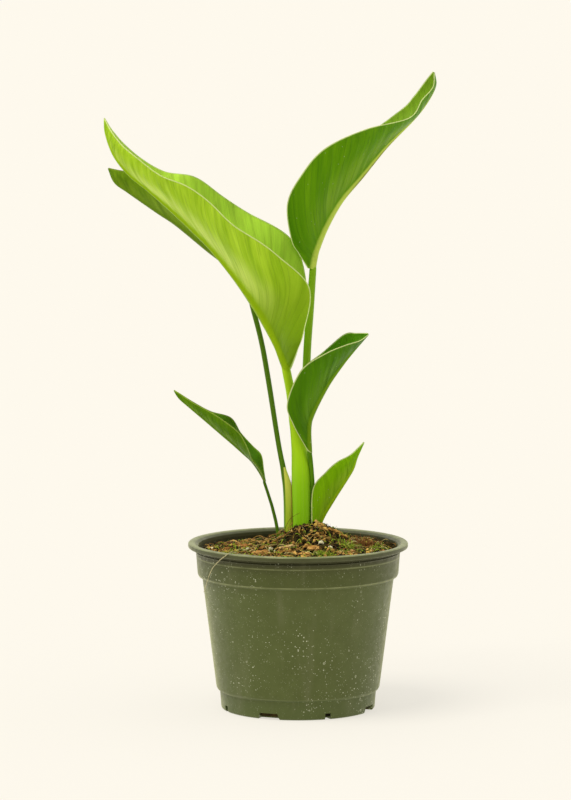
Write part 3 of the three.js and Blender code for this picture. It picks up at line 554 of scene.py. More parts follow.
POT_OUTSIDE = [
    (FOOT_RADIUS - EDGE, 0),
    (FOOT_RADIUS, EDGE),
    (FOOT_TOP_RADIUS, FOOT_HEIGHT - STEP_RISE),
    (BODY_LOW_RADIUS - EDGE, FOOT_HEIGHT - EDGE),
    (BODY_LOW_RADIUS, FOOT_HEIGHT + EDGE),
    (BODY_TOP_RADIUS, COLLAR_BOTTOM - EDGE),
    (BODY_TOP_RADIUS + COLLAR_STEP - EDGE, COLLAR_BOTTOM),
    (BODY_TOP_RADIUS + COLLAR_STEP, COLLAR_BOTTOM + STEP_RISE),
    (NECK_RADIUS, COLLAR_TOP - EDGE),
    (NECK_RADIUS + BEAD, COLLAR_TOP - EDGE / 2),
    (NECK_RADIUS + BEAD, COLLAR_TOP),
    (NECK_RADIUS, COLLAR_TOP + EDGE / 2),
    (NECK_RADIUS, LIP_BOTTOM),
    (RIM_RADIUS - EDGE, LIP_BOTTOM),
    (RIM_RADIUS, LIP_BOTTOM + EDGE),
    (RIM_RADIUS, POT_HEIGHT - EDGE),
    (RIM_RADIUS - EDGE, POT_HEIGHT),
]
POT_INSIDE = [
    (RIM_RADIUS - LIP_TOP_WIDTH, POT_HEIGHT),
    (INSIDE_RADIUS, POT_HEIGHT - LIP_INNER_DROP),
    (INSIDE_RADIUS, COLLAR_TOP - EDGE),
    (INSIDE_RADIUS - LEDGE_WIDTH, COLLAR_TOP - 1.5 * EDGE),
    (BODY_TOP_RADIUS + COLLAR_STEP - POT_WALL - LEDGE_WIDTH / 2, COLLAR_BOTTOM + STEP_RISE),
    (BODY_TOP_RADIUS - POT_WALL, COLLAR_BOTTOM - STEP_RISE),
    (BODY_LOW_RADIUS - POT_WALL, FOOT_HEIGHT + EDGE),
    (FOOT_TOP_RADIUS - POT_WALL, FOOT_HEIGHT - STEP_RISE),
    (FOOT_RADIUS - POT_WALL, POT_WALL),
]


def build_pot():
    look = pot_look()
    profile = rounded([(0, 0), *POT_OUTSIDE, *POT_INSIDE, (0, POT_WALL)], CORNER)
    pot = make_object("pot", *lathe(profile, POT_SEGMENTS), look)
    pockets, cuts = [], []
    for i in range(NOTCH_COUNT):
        wide = i % 2 == 1
        turn = math.radians(NOTCH_FIRST + i * 360 / NOTCH_COUNT)
        half = (NOTCH_WIDE if wide else NOTCH_NARROW) / 2
        slope = NOTCH_SLOPE if wide else 0
        grown = (half + POT_WALL, slope, POCKET_LOW, NOTCH_HEIGHT + POT_WALL)
        pockets.append(block(*grown, -POCKET_INSET, NOTCH_DEPTH + POT_WALL, turn))
        cuts.append(block(half, slope, -CUT_PAST, NOTCH_HEIGHT, 3 * CUT_PAST, NOTCH_DEPTH, turn))
        if wide:
            drain = (DRAIN_WIDTH / 2, 0, POT_WALL, POT_WALL + DRAIN_HEIGHT)
            cuts.append(block(*drain, CUT_PAST - NOTCH_DEPTH, NOTCH_DEPTH + 2 * POT_WALL, turn))
    combine(pot, pockets, "UNION", look)
    combine(pot, cuts, "DIFFERENCE", look)
    pot.data.shade_smooth()
    pot.data.set_sharp_from_angle(angle=math.radians(32))
    piece(pot, "pot_plastic", "nursery_pot")


# ---- soil


def soil_level(x, y):
    """Height of the soil, as in the CAD model."""
    away = np.hypot((x - MOUND_OFFSET) / MOUND_RADIUS, y / (MOUND_RADIUS * 1.1))
    heap = MOUND_HEIGHT * np.exp(-(away**2.2))
    uneven = 0.7 * np.sin(x / 7) * np.cos(y / 9) * (1 - np.hypot(x, y) / SOIL_RADIUS)
    return POT_HEIGHT - SOIL_EDGE_DROP + SOIL_TILT * (x - y) / SOIL_RADIUS + heap + uneven


def rough_soil(x, y):
    """Height of the soil with its clods and crumbs."""
    clods = 1.5 * lumps(x, y, 9, 1) + 0.9 * lumps(x, y, 4, 2)
    fine = 0.5 * lumps(x, y, 1.7, 3) + 0.3 * lumps(x, y, 0.8, 4)
    calm = np.clip((SOIL_RADIUS + 2 - np.hypot(x, y)) / 8, 0.25, 1)
    return soil_level(x, y) - 0.4 + (clods + fine) * calm


def build_peat(look):
    """The body of soil: a rough top, and a wall that follows the pot's inside."""
    outer = SOIL_RADIUS + LEDGE_COVER
    turn = np.arange(SOIL_TURNS) / SOIL_TURNS * 2 * math.pi
    radius = np.linspace(0.4, outer, SOIL_RINGS)[:, None]
    x, y = radius * np.cos(turn), radius * np.sin(turn)
    over = LEDGE_GAP - EDGE
    wall = [(outer, COLLAR_TOP + over), (SOIL_RADIUS - 0.4, COLLAR_TOP + over - EDGE / 2)]
    wall += [(r - CLEARANCE, z + CLEARANCE) for r, z in POT_INSIDE[4:]]
    below = [np.stack([r * np.cos(turn), r * np.sin(turn), z + 0 * turn], -1)[None] for r, z in wall]
    grid = np.concatenate([np.stack([x, y, rough_soil(x, y)], -1), *below])
    middles = [[0, 0, grid[0, :, 2].mean()], [0, 0, POT_WALL + CLEARANCE]]
    points = np.vstack([grid.reshape(-1, 3), *middles])
    faces = strip_faces(len(grid), SOIL_TURNS, around=True, flip=True)
    last = (len(grid) - 1) * SOIL_TURNS
    for j in range(SOIL_TURNS):
        faces.append([len(points) - 2, j, (j + 1) % SOIL_TURNS])
        faces.append([len(points) - 1, last + (j + 1) % SOIL_TURNS, last + j])
    tint = 0.5 + 0.5 * lumps(points[:, 0], points[:, 1], 5, 5)
    piece(make_object("soil", points, faces, look, tint=tint), "soil", "potting_soil")


def build_soil():
    """The peat and what is strewn over it."""
    rng = np.random.default_rng(21)

    def scattered(count, margin=1.5):
        share, angle = np.sqrt(rng.random(count)), rng.random(count) * 2 * math.pi
        reach = share * (SOIL_RADIUS + 1.5 - margin)
        return reach * np.cos(angle), reach * np.sin(angle)

    def spread(name, look, slot, count, size, detail, seed, lift=0.3):
        """Lumps between two sizes that lie on the soil."""
        x, y = scattered(count)
        sizes = size[0] + (size[1] - size[0]) * rng.random(count) ** 2
        places = np.stack([x, y, rough_soil(x, y) + sizes * lift], -1)
        points, faces, tint = crumbs(places, sizes, detail, seed)
        piece(make_object(name, points, faces, look, tint=tint), slot)

    def shreds(name, look, slot, count, length, radius, lift, seed):
        """Short curved strips, between two lengths and two radii, that lie on the soil."""
        own = np.random.default_rng(seed)
        x, y = scattered(count, 6)
        size = length[0] + (length[1] - length[0]) * own.random(count) ** 1.6
        heading, bend = own.random(count) * FULL_TURN, (own.random(count) - 0.5) * 1.6
        t = np.linspace(-0.5, 0.5, 7)
        angle = heading[:, None] + bend[:, None] * t
        px = x[:, None] + np.cumsum(np.cos(angle), 1) * size[:, None] / 7
        py = y[:, None] + np.cumsum(np.sin(angle), 1) * size[:, None] / 7
        pull = np.minimum(1, (SOIL_RADIUS + 1.2) / np.hypot(px, py))
        px, py = px * pull, py * pull
        rise = own.random((count, 1)) * lift * (1 - 4 * t**2) + own.random((count, 1)) * 0.5
        pz = rough_soil(px, py) * 0.5 + rough_soil(x, y)[:, None] * 0.5 + 0.3 + rise
        pz = np.maximum(pz, soil_level(px, py) - 0.2)
        thick = (radius[0] + (radius[1] - radius[0]) * own.random((count, 1))) * (1.15 - 1.4 * np.abs(t))
        points, faces = tubes(np.stack([px, py, pz], -1), thick, 4)
        tint = np.repeat(own.random(count), 4 * len(t))
        piece(make_object(name, points, faces, look, tint=tint), slot)

    # Wet peat nearly swallows the light; the loose humus on it is pale and dry.
    peat = soil_look("dark_peat", (0.003, 0.002, 0.001), (0.05, 0.034, 0.006))
    humus = soil_look("brown_humus", (0.02, 0.013, 0.002), (0.66, 0.42, 0.085))
    build_peat(peat)
    spread("peat_crumbs", peat, "soil", 2300, (0.6, 2.3), 1, 31)
    spread("humus_crumbs", humus, "soil", 520, (0.5, 2.2), 1, 32)
    spread("fine_perlite", perlite_look(), "perlite", 42, (0.35, 0.9), 2, 33, 0.6)
    orange = fibre_look("orange_bark", (0.34, 0.15, 0.025), (0.92, 0.56, 0.14))
    pale = fibre_look("pale_straw", (0.5, 0.36, 0.1), (0.92, 0.78, 0.32))
    dark = fibre_look("dark_fibre", (0.03, 0.018, 0.005), (0.24, 0.13, 0.03))
    green = moss_look("green_threads", (0.04, 0.08, 0.002), (0.5, 0.66, 0.03))
    shreds("bark_shreds", orange, "bark", 360, (3, 10), (0.5, 1.5), 1.2, 41)
    shreds("brown_shreds", dark, "bark", 360, (2.5, 11), (0.3, 1.0), 1.4, 42)
    shreds("husk_fibres", orange, "fibre", 420, (6, 24), (0.12, 0.28), 3.8, 43)
    shreds("pale_fibres", pale, "fibre", 300, (4, 18), (0.12, 0.34), 3.4, 44)
    shreds("dark_fibres", dark, "fibre", 320, (6, 22), (0.09, 0.22), 3.2, 45)
    shreds("moss_threads", green, "moss", 800, (2, 9), (0.14, 0.4), 3.4, 46)


# ---- leaves

# A leaf's stations: a point under the midrib (from the pot's axis and the top of its lip),
# the width of each half there, the ways in which the front and the back half leave the
# midrib, and the back half's share of the width.
LEAVES = {
    "tall_left_blade": [
        ((-11.2, -6.6, 129.4), 7.3, (0.81, -0.44, 0.4), (0.87, 0.46, 0.2)),
        ((-14.7, -7.3, 139), 22.5, (0.67, -0.65, 0.36), (0.64, 0.76, 0.12)),
        ((-18.6, -8, 149), 35, (0.66, -0.65, 0.37), (0.62, 0.76, 0.2)),
        ((-30, -10, 170), 47, (0.81, -0.31, 0.5), (0.72, 0.46, 0.52), 1.06),
        ((-46.4, -13, 195.5), 51, (0.58, -0.66, 0.47), (0.76, 0.28, 0.58), 1.06),
        ((-65.5, -15, 220), 46, (0.44, -0.79, 0.42), (0.62, 0.54, 0.56)),
        ((-81.7, -17, 236.5), 41, (0.45, -0.76, 0.48), (0.6, 0.57, 0.55)),
        ((-97, -18, 251), 36, (0.43, -0.76, 0.49), (0.56, 0.56, 0.61)),
        ((-111, -18, 263.5), 29, (0.38, -0.81, 0.45), (0.44, 0.77, 0.47)),
        ((-125, -18, 275), 22, (0.4, -0.72, 0.57), (0.4, 0.74, 0.55)),
        ((-136, -17, 289), 14.5, (0.54, -0.66, 0.54), (0.57, 0.61, 0.56)),
        ((-142, -16, 305), 7, (0.66, -0.6, 0.45), (0.7, 0.5, 0.5)),
        ((-143, -16, 317), 0.8, (0.7, -0.5, 0.4), (0.7, 0.5, 0.5)),
    ],
    "tall_right_blade": [
        ((12.9, 8.4, 203.5), 6.8, (-0.86, -0.45, 0.2), (-0.86, 0.5, 0.2)),
        ((14.3, 8.9, 211.5), 16, (-0.86, -0.43, 0.26), (-0.8, 0.57, 0.2)),
        ((16.4, 9.6, 219.5), 25.5, (-0.85, -0.45, 0.29), (-0.8, 0.57, 0.19)),
        ((23, 11.4, 235.5), 41.5, (-0.75, -0.49, 0.45), (-0.73, 0.57, 0.37)),
        ((33.6, 14, 254), 46, (-0.68, -0.56, 0.48), (-0.66, 0.64, 0.4)),
        ((48.7, 16.6, 272), 44, (-0.65, -0.56, 0.51), (-0.62, 0.65, 0.44)),
        ((66.6, 20, 294), 33, (-0.5, -0.73, 0.45), (-0.43, 0.85, 0.31)),
        ((86.8, 25, 314.6), 17.5, (-0.25, -0.96, 0.09), (-0.52, 0.76, 0.4)),
        ((96.9, 27, 327.6), 13.5, (-0.36, -0.92, 0.17), (-0.76, 0.57, 0.31)),
        ((102.8, 29, 339.6), 9, (-0.3, -0.94, -0.05), (-0.86, 0.3, 0.42)),
        ((101.8, 30, 349.4), 1.6, (-0.2, -0.95, 0.1), (-0.8, 0.3, 0.5)),
    ],
    "rear_left_blade": [
        ((-35, 34, 176), 2, (0.8, -0.5, 0.3), (0.8, 0.5, 0.3)),
        ((-43.2, 36, 193.5), 18, (0.76, -0.47, 0.45), (0.75, 0.54, 0.38)),
        ((-55.8, 37, 205.2), 28, (0.62, -0.4, 0.67), (0.66, 0.3, 0.69)),
        ((-70.2, 38, 216.5), 32, (0.56, -0.46, 0.69), (0.61, 0.3, 0.73)),
        ((-92, 38, 234.5), 32, (0.58, -0.4, 0.71), (0.62, 0.2, 0.76)),
        ((-106, 37, 244), 27, (0.55, -0.45, 0.69), (0.6, 0.31, 0.73)),
        ((-127.6, 36, 259.2), 18, (0.6, -0.25, 0.76), (0.62, 0.15, 0.77)),
        ((-137.6, 35, 266.8), 10.6, (0.45, -0.2, 0.88), (0.45, 0.2, 0.88)),
        ((-142.4, 35, 277.5), 0.8, (0.6, -0.3, 0.7), (0.6, 0.3, 0.7)),
    ],
    "mid_right_blade": [
        ((10.2, -5.4, 67.2), 2.8, (-0.8, -0.5, 0.3), (-0.85, 0.3, 0.3)),
        ((9.6, -10, 86.5), 17, (-0.8, -0.54, 0.26), (-0.95, -0.05, 0.25), 0.84),
        ((12.4, -13, 98), 26, (-0.8, -0.48, 0.36), (-0.93, 0.04, 0.32), 0.8),
        ((22.6, -16.6, 118.5), 29, (-0.71, -0.53, 0.47), (-0.86, 0.28, 0.38), 0.86),
        ((32.9, -18.6, 134), 24, (-0.54, -0.71, 0.46), (-0.6, 0.7, 0.36)),
        ((41, -19.6, 144.5), 16, (-0.41, -0.81, 0.41), (-0.44, 0.41, 0.8)),
        ((47.7, -20.4, 152.5), 9, (-0.27, -0.94, 0.17), (-0.49, 0.58, 0.65)),
        ((52, -20.6, 157.5), 1.6, (-0.2, -0.95, 0.1), (-0.3, 0.5, 0.8)),
    ],
    "low_left_blade": [
        ((-25.4, 14, 43.4), 1.4, (0.3, -0.9, 0.3), (0.8, 0.5, 0.3)),
        ((-30, 12.4, 52), 5, (0.23, -0.94, 0.27), (0.88, 0.45, 0.1)),
        ((-35.2, 10.6, 59.4), 10, (0.1, -0.97, 0.23), (0.78, 0.45, 0.44)),
        ((-40.3, 9, 64.2), 13, (0.26, -0.87, 0.42), (0.5, 0.74, 0.46)),
        ((-49.6, 6, 73), 15, (0.44, -0.7, 0.57), (0.45, 0.75, 0.48)),
        ((-59.6, 3, 82), 15, (0.45, -0.7, 0.56), (0.63, 0.3, 0.72)),
        ((-70.2, 1, 91.5), 11, (0.45, -0.62, 0.65), (0.46, 0.71, 0.53)),
        ((-81, -1, 101), 6.5, (0.48, -0.54, 0.69), (0.48, 0.64, 0.6)),
        ((-88.7, -2, 108), 4, (0.45, -0.3, 0.84), (0.43, 0.5, 0.75)),
        ((-92.6, -2, 114), 0.7, (0.6, -0.4, 0.7), (0.6, 0.4, 0.7)),
    ],
    "young_right_blade": [
        ((15, 3.4, -27.5), 4.6, (-0.5, -0.85, 0.1), (-0.4, 0.9, 0)),
        ((16, 3, 2), 8.4, (-0.56, -0.82, 0.1), (-0.5, 0.86, 0)),
        ((18.6, 2, 15.5), 11.5, (-0.75, -0.62, 0.22), (-0.61, 0.79, 0.1)),
        ((27.4, 0.4, 31.4), 20, (-0.82, -0.3, 0.5), (-0.76, 0.52, 0.39)),
        ((36, -1.6, 45.4), 18.5, (-0.83, -0.32, 0.46), (-0.76, 0.57, 0.33)),
        ((41.5, -3, 55), 15, (-0.83, -0.35, 0.43), (-0.75, 0.59, 0.31)),
        ((44.4, -3.8, 64), 7, (-0.8, -0.46, 0.37), (-0.74, 0.64, 0.19)),
        ((49.4, -4, 75.5), 0.8, (-0.8, -0.4, 0.3), (-0.8, 0.4, 0.3)),
    ],
}

# How deep the midrib is at each leaf's foot.
RIBS = {
    "tall_left_blade": 3.4,
    "tall_right_blade": 2.7,
    "rear_left_blade": 1.8,
    "mid_right_blade": 2,
    "low_left_blade": 1.3,
    "young_right_blade": 1.7,
}
BLADE_BULGE = 0.1
BLADE_THICKNESS = 0.55


def stations_of(node):
    """A leaf's stations as columns: place, width, way of the front and the back half, back share."""
    rows = [s if len(s) == 5 else (*s, 1) for s in LEAVES[node]]
    at, wide, front, back, share_back = (np.array(column, float) for column in zip(*rows))
    return at + [0, 0, POT_HEIGHT], wide[:, None], unit(front), unit(back), share_back[:, None]


def midrib(node, rows):
    """The line under a leaf's midrib, the way into its trough, and the length up to each row."""
    at, _, front, back, _ = stations_of(node)
    t = np.linspace(0, 1, rows)
    line = along_curve(at, t)
    return line, unit(along_curve(unit(front + back), t)), travelled(line)


def build_leaf(node, rows, columns, ripple, seed, look):
    """A troughed leaf with a midrib ridge, gentle folds along its side veins and a thin margin."""
    at, wide, front_way, back_way, share_back = stations_of(node)
    t = np.linspace(0, 1, rows)
    under = along_curve(at, t)
    front = along_curve(at + front_way * wide, t)
    back = along_curve(at + back_way * wide * share_back, t)
    keel = (RIBS[node] * (1 - 0.85 * t))[:, None]
    inwards = unit(front + back - 2 * under)
    middle = under + inwards * keel
    length = travelled(middle)

    # Each half's straight way out, and how it bows away from the trough.
    side = np.linspace(-1, 1, 2 * columns + 1)
    across = np.sign(side) * np.abs(side) ** 1.25
    to_front, to_back = front - middle, back - middle
    in_front = across[None, :, None] < 0
    here = np.where(in_front, to_front[:, None], to_back[:, None])
    other = np.where(in_front, to_back[:, None], to_front[:, None])
    direction = unit(here)
    outwards = unit(direction * np.sum(direction * other, -1, keepdims=True) - other)
    share = np.abs(across)[None, :]
    reach = np.linalg.norm(here, axis=-1)
    away = share * reach
    distance = length[:, None] + 0 * away

    # The side veins lean towards the tip, and the folds and the margin's waves follow them.
    lean = 0.55 + 1.35 * np.clip(distance / (0.55 * length[-1]), 0, 1)
    vein = distance - lean * away + 0.25 * lean * away**2 / np.maximum(reach, 4)
    bulge = BLADE_BULGE * reach * np.sin(math.pi * share)
    fold = 0.16 * np.sin(vein * 0.62 + 1.3 * lumps(vein, 0 * vein, 14, seed))
    fold = fold + 0.10 * lumps(vein, away * 0.2, 2.6, seed + 1)
    fold = fold * np.clip(away / 4, 0, 1) * np.clip((reach - away) / 3, 0, 1)
    wave = ripple * share**4 * np.sin(distance / 9.0 + seed) * np.clip(reach / 20, 0, 1)
    surface = middle[:, None] + here * share[..., None] + outwards * (bulge + fold + wave)[..., None]

    normal = unit(np.cross(np.gradient(surface, axis=0), np.gradient(surface, axis=1)))
    turned_in = np.sign(np.sum(normal[rows // 2, columns] * inwards[rows // 2]))
    normal = normal * turned_in
    half = np.minimum(np.linalg.norm(to_front, axis=1), np.linalg.norm(to_back, axis=1))[:, None]
    thick = np.minimum(BLADE_THICKNESS, 0.25 * half + 0.2) * (1 - 0.45 * share**8) / 2
    ridge_width = 1.15 * keel + 0.5
    ridge = keel * np.clip(1 - (away / ridge_width) ** 2, 0, 1) ** 1.5
    inner = surface + normal * thick[..., None]
    outer = surface - normal * (thick + ridge)[..., None]

    count = rows * len(across)
    points = np.vstack([inner.reshape(-1, 3), outer.reshape(-1, 3)])
    grid = np.arange(count).reshape(rows, len(across))
    faces = strip_faces(rows, len(across), flip=True) + strip_faces(rows, len(across), count)
    for line, turned in ((grid[:, 0], False), (grid[:, -1], True), (grid[0], True), (grid[-1], False)):
        for a, b in zip(line, line[1:]):
            quad = [a, b, b + count, a + count]
            faces.append(quad[::-1] if turned else quad)
    if turned_in > 0:
        faces = [f[::-1] for f in faces]

    def twice(values):
        return np.concatenate([np.ravel(values + 0 * away)] * 2)

    made = make_object(
        node.replace("blade", "leaf"), points, faces, look,
        vein=twice(vein) + 40 * seed, across=twice(across[None]), along=twice(distance / length[-1]),
        edge=twice(reach - away), rib=twice(away / ridge_width), inside=np.repeat([1.0, 0.0], count),
    )
    piece(made, "leaf", node)


def build_leaves():
    margin = (0.84, 0.95, 0.38)
    bright = leaf_look(
        "bright_leaf", (0.29, 0.53, 0.006), (0.64, 0.88, 0.05), (0.78, 0.95, 0.17),
        (0.52, 0.8, 0.07), (0.36, 0.56, 0.006), margin, 1.0, base=0.9,
    )
    deep = leaf_look(
        "deep_leaf", (0.07, 0.245, 0.001), (0.185, 0.43, 0.003), (0.36, 0.56, 0.04),
        (0.24, 0.44, 0.02), (0.66, 0.8, 0.12), margin, 0.4, spots=0.8, red=0.6,
    )
    shaded = leaf_look(
        "shaded_leaf", (0.11, 0.24, 0.006), (0.27, 0.45, 0.016), (0.36, 0.54, 0.05),
        (0.05, 0.15, 0.003), (0.18, 0.3, 0.02), (0.3, 0.42, 0.05), 0.3,
    )
    dark = leaf_look(
        "dark_leaf", (0.046, 0.175, 0.001), (0.118, 0.335, 0.002), (0.22, 0.43, 0.02),
        (0.085, 0.28, 0.004), (0.2, 0.38, 0.01), margin, 0.3, spots=0.8,
    )
    small = leaf_look(
        "small_leaf", (0.07, 0.205, 0.001), (0.165, 0.35, 0.004), (0.3, 0.5, 0.03),
        (0.095, 0.26, 0.008), (0.17, 0.32, 0.01), (0.36, 0.52, 0.06), 0.4,
    )
    young = leaf_look(
        "young_leaf", (0.185, 0.45, 0.001), (0.33, 0.67, 0.004), (0.46, 0.68, 0.04),
        (0.15, 0.38, 0.004), (0.4, 0.62, 0.01), margin, 0.5, spots=0.7, base=0.8,
    )
    build_leaf("tall_left_blade", 240, 34, 0.5, 1, bright)
    build_leaf("tall_right_blade", 200, 32, 0.5, 2, deep)
    build_leaf("rear_left_blade", 160, 24, 0.4, 3, shaded)
    build_leaf("mid_right_blade", 150, 24, 0.3, 4, dark)
    build_leaf("low_left_blade", 120, 18, 0.2, 5, small)
    build_leaf("young_right_blade", 130, 20, 0.2, 6, young)


# ---- stalks

# A stalk's joints: a point on its middle line, the radius there, and how far it has opened
# out from a grooved rod (0) into a thin clasping sheath (1).
STALKS = {
    "tall_left_stalk": [
        (2.8, 0, -28, 5.6, 0.9),
        (2.8, 0, 18, 6, 1),
        (2.6, 0.2, 37, 6.2, 1),
        (2.3, 0.5, 51, 6.1, 1),
        (1.4, 1.2, 65, 5.6, 0.9),
        (-0.9, 1.4, 79.5, 4.5, 0.4),
        (-3, 0.6, 91.6, 3.8, 0.1),
        (-5.2, -2.6, 110.4, 3.4, 0),
        (-8.7, -6.4, 129.2, 3.2, 0),
    ],
    "rear_left_stalk": [
        (-7.2, 3.4, -28, 3.3, 0.9),
        (-7.2, 3.6, 18, 3.4, 1),
        (-7.7, 4, 38, 3.5, 1),
        (-9.7, 4.8, 48.5, 2.7, 0.6),
        (-11.5, 6, 57, 2.1, 0.2),
        (-15, 10, 74.7, 1.9, 0),
        (-22.3, 19, 120, 2, 0),
        (-27.6, 26, 148.5, 1.95, 0),
        (-34.7, 33.8, 175.5, 1.9, 0),
    ],
    "tall_right_stalk": [
        (2.4, 1.2, -28, 2.2, 0),
        (2.4, 1.4, 31, 2.3, 0),
        (3.8, 4.2, 60, 2.5, 0),
        (4.3, 6.4, 80, 2.9, 0),
        (5.2, 7.6, 106, 3.2, 0),
        (6.7, 8.2, 145, 3.1, 0),
        (8.8, 8.3, 174, 3, 0),
        (10.8, 8.4, 203.2, 2.8, 0),
    ],
    "mid_right_stalk": [
        (9.6, 3.4, -28, 1.7, 0),
        (10, 3.2, 20, 1.7, 0),
        (11, 0.2, 33, 1.7, 0),
        (10.7, -2, 43.6, 1.7, 0),
        (10.1, -2.6, 53, 1.7, 0),
        (9.3, -3.2, 61, 1.8, 0),
        (8.4, -5.2, 67.4, 2, 0),
    ],
    "low_left_stalk": [
        (-11, 6.4, -32, 1.5, 0),
        (-15.2, 13, 5, 1.3, 0),
        (-18.8, 15, 22, 1.2, 0),
        (-21.9, 14.8, 32.5, 1.15, 0),
        (-25.3, 14, 43.1, 1.1, 0),
    ],
}

BACK_SIDES = 40
GROOVE_SIDES = 16
ROD_GROOVE = 0.35
SHEATH_WALL = 1.1
SWELL_TOP = 85  # over the lip: there a swelling starts, and it is full SWELL_RISE lower
SWELL_RISE = 30


def build_stalk(node, facing, steps, over, look, swell=0.0):
    """A ribbed stalk, its groove on the side that it is facing, in degrees from the right.

    It runs on under the blade it carries, over that length, and is thicker by swell, in mm,
    where it clasps its neighbours.
    """
    joints = np.array(STALKS[node], float)
    share = np.linspace(0, 1, steps)
    middle = along_curve(joints[:, :3] + [0, 0, POT_HEIGHT], share)
    size = along_curve(joints[:, 3:], share)
    size[:, 0] += swell * np.clip((POT_HEIGHT + SWELL_TOP - middle[:, 2]) / SWELL_RISE, 0, 1)
    blade = node.replace("stalk", "blade")
    under, inwards, length = midrib(blade, 400)
    t = np.linspace(0.25, 1, 10)
    row = np.searchsorted(length, over * t)
    end = size[-1, 0] + (0.5 * RIBS[blade] - size[-1, 0]) * t
    middle = np.vstack([middle, under[row] + inwards[row] * end[:, None]])
    size = np.vstack([size, np.stack([end, 0 * end], -1)])
    radius, opened = size[:, :1], np.clip(size[:, 1:], 0, 1)

    tangent = unit(np.gradient(middle, axis=0))
    groove = np.array([math.cos(math.radians(facing)), math.sin(math.radians(facing)), 0])
    u = unit(groove - tangent * (tangent @ groove)[:, None])
    v = np.cross(tangent, u)
    gap = np.radians(32 + 30 * opened)
    turn = gap + np.linspace(0, 1, BACK_SIDES)[None] * (2 * math.pi - 2 * gap)
    ribs = 1 + 0.012 * np.cos(turn * 22) + 0.008 * np.cos(turn * 37)
    back = np.stack([np.cos(turn) * radius * ribs, np.sin(turn) * radius * ribs], -1)
    groove_share = np.linspace(1, 0, GROOVE_SIDES)[None]
    turn = gap + groove_share * (2 * math.pi - 2 * gap)
    wall = np.maximum(radius - SHEATH_WALL, radius * 0.3)
    sheath = np.stack([np.cos(turn) * wall, np.sin(turn) * wall], -1)
    dip = ROD_GROOVE * 4 * groove_share * (1 - groove_share)
    rod_side = np.sin(gap) * (1 - 2 * groove_share) * radius * 0.96
    rod = np.stack([(np.cos(gap) - dip) * radius, rod_side], -1)
    section = np.concatenate([back, rod + (sheath - rod) * opened[..., None]], 1)
    points = middle[:, None] + section[..., :1] * u[:, None] + section[..., 1:] * v[:, None]

    rows, columns = section.shape[:2]
    around = np.concatenate([np.linspace(0, 1, BACK_SIDES), np.linspace(1.6, 1.2, GROOVE_SIDES)])
    lip = np.abs(np.concatenate([np.linspace(-1, 1, BACK_SIDES), np.linspace(-1, 1, GROOVE_SIDES)]))
    made = make_object(
        node + "_fine", points.reshape(-1, 3), rod_faces(rows, columns), look, 50,
        around=np.tile(around, rows), lip=np.tile(lip, rows), open=np.repeat(opened.ravel(), columns),
    )
    piece(made, "stalk", node)


# Thin dry margins of the clasping sheaths, as (height over the lip, x of one edge, x of the
# other edge, y): a yellow wing between the two left stalks, and a pale edge on the right.
SHEATH_WING = [
    (-6, -9.6, -3.6, 0.2),
    (12, -9.4, -3.4, 0),
    (28, -9.4, -3.4, -0.4),
    (42, -9.8, -4.6, 0),
    (56, -11, -9.4, 2),
]
SHEATH_MARGIN = [
    (-6, 9.0, 10.1, -1.4),
    (12, 9.2, 10.2, -1.2),
    (30, 9.2, 10.1, -1),
    (48, 8.8, 9.6, -0.8),
    (62, 7.4, 8, -0.6),
]
WING_THICKNESS = 0.35

# Two thin brown fibres at the foot of the stalks, as (x, y, height over the lip).
FIBRE_ARCH = [(-10.6, -7, -1), (-10, -8, 9), (-7, -8.6, 17), (-2.6, -8.6, 21), (1.4, -8.2, 23)]
DRY_EDGE = [(-4.1, -1.9, 4), (-4.4, -1.7, 16), (-4.6, -1.3, 28), (-4.9, -0.9, 40), (-5.3, -0.4, 50)]


def build_wing(name, node, edges, look):
    line = along_curve(edges, np.linspace(0, 1, 40))
    height, left, right, depth = line.T[:, :, None]
    across = np.linspace(0, 1, 12)
    x = left + (right - left) * across
    y = depth - 0.9 * np.sin(math.pi * across) + 0.15 * np.sin(height * 0.4 + 5 * across)
    z = POT_HEIGHT + height + 0 * x
    front, back = np.stack([x, y, z], -1), np.stack([x, y + WING_THICKNESS, z], -1)
    grid = np.concatenate([front, back[:, ::-1]], 1)
    rows, columns = grid.shape[:2]
    around = np.tile(np.concatenate([across, across[::-1]]), rows)
    closed = np.zeros(rows * columns)
    faces = rod_faces(rows, columns)
    made = make_object(name, grid.reshape(-1, 3), faces, look, 60, around=around, lip=closed, open=closed)
    piece(made, "stalk", node)


def build_wings():
    dry = stalk_look("dry_wing", (0.42, 0.62, 0.01), (0.66, 0.68, 0.09), (0.02, 0.06), 0.5, (0.7, 0.74, 0.2))
    build_wing("sheath_wing", "rear_left_stalk", SHEATH_WING, dry)
    build_wing("sheath_margin", "tall_left_stalk", SHEATH_MARGIN, dry)
    brown = fibre_look("dry_edge", (0.16, 0.06, 0.01), (0.42, 0.2, 0.04))
    arch, edge = (np.array(route) + [0, 0, POT_HEIGHT] for route in (FIBRE_ARCH, DRY_EDGE))
    strand("arching_fibre", arch, brown, "fibre", [], 40, 6, 0.26, 0.6, tone=0)
    strand("dry_edge", edge, brown, "stalk", ["rear_left_stalk"], 40, 6, 0.42, 0.75, wave=0.15)


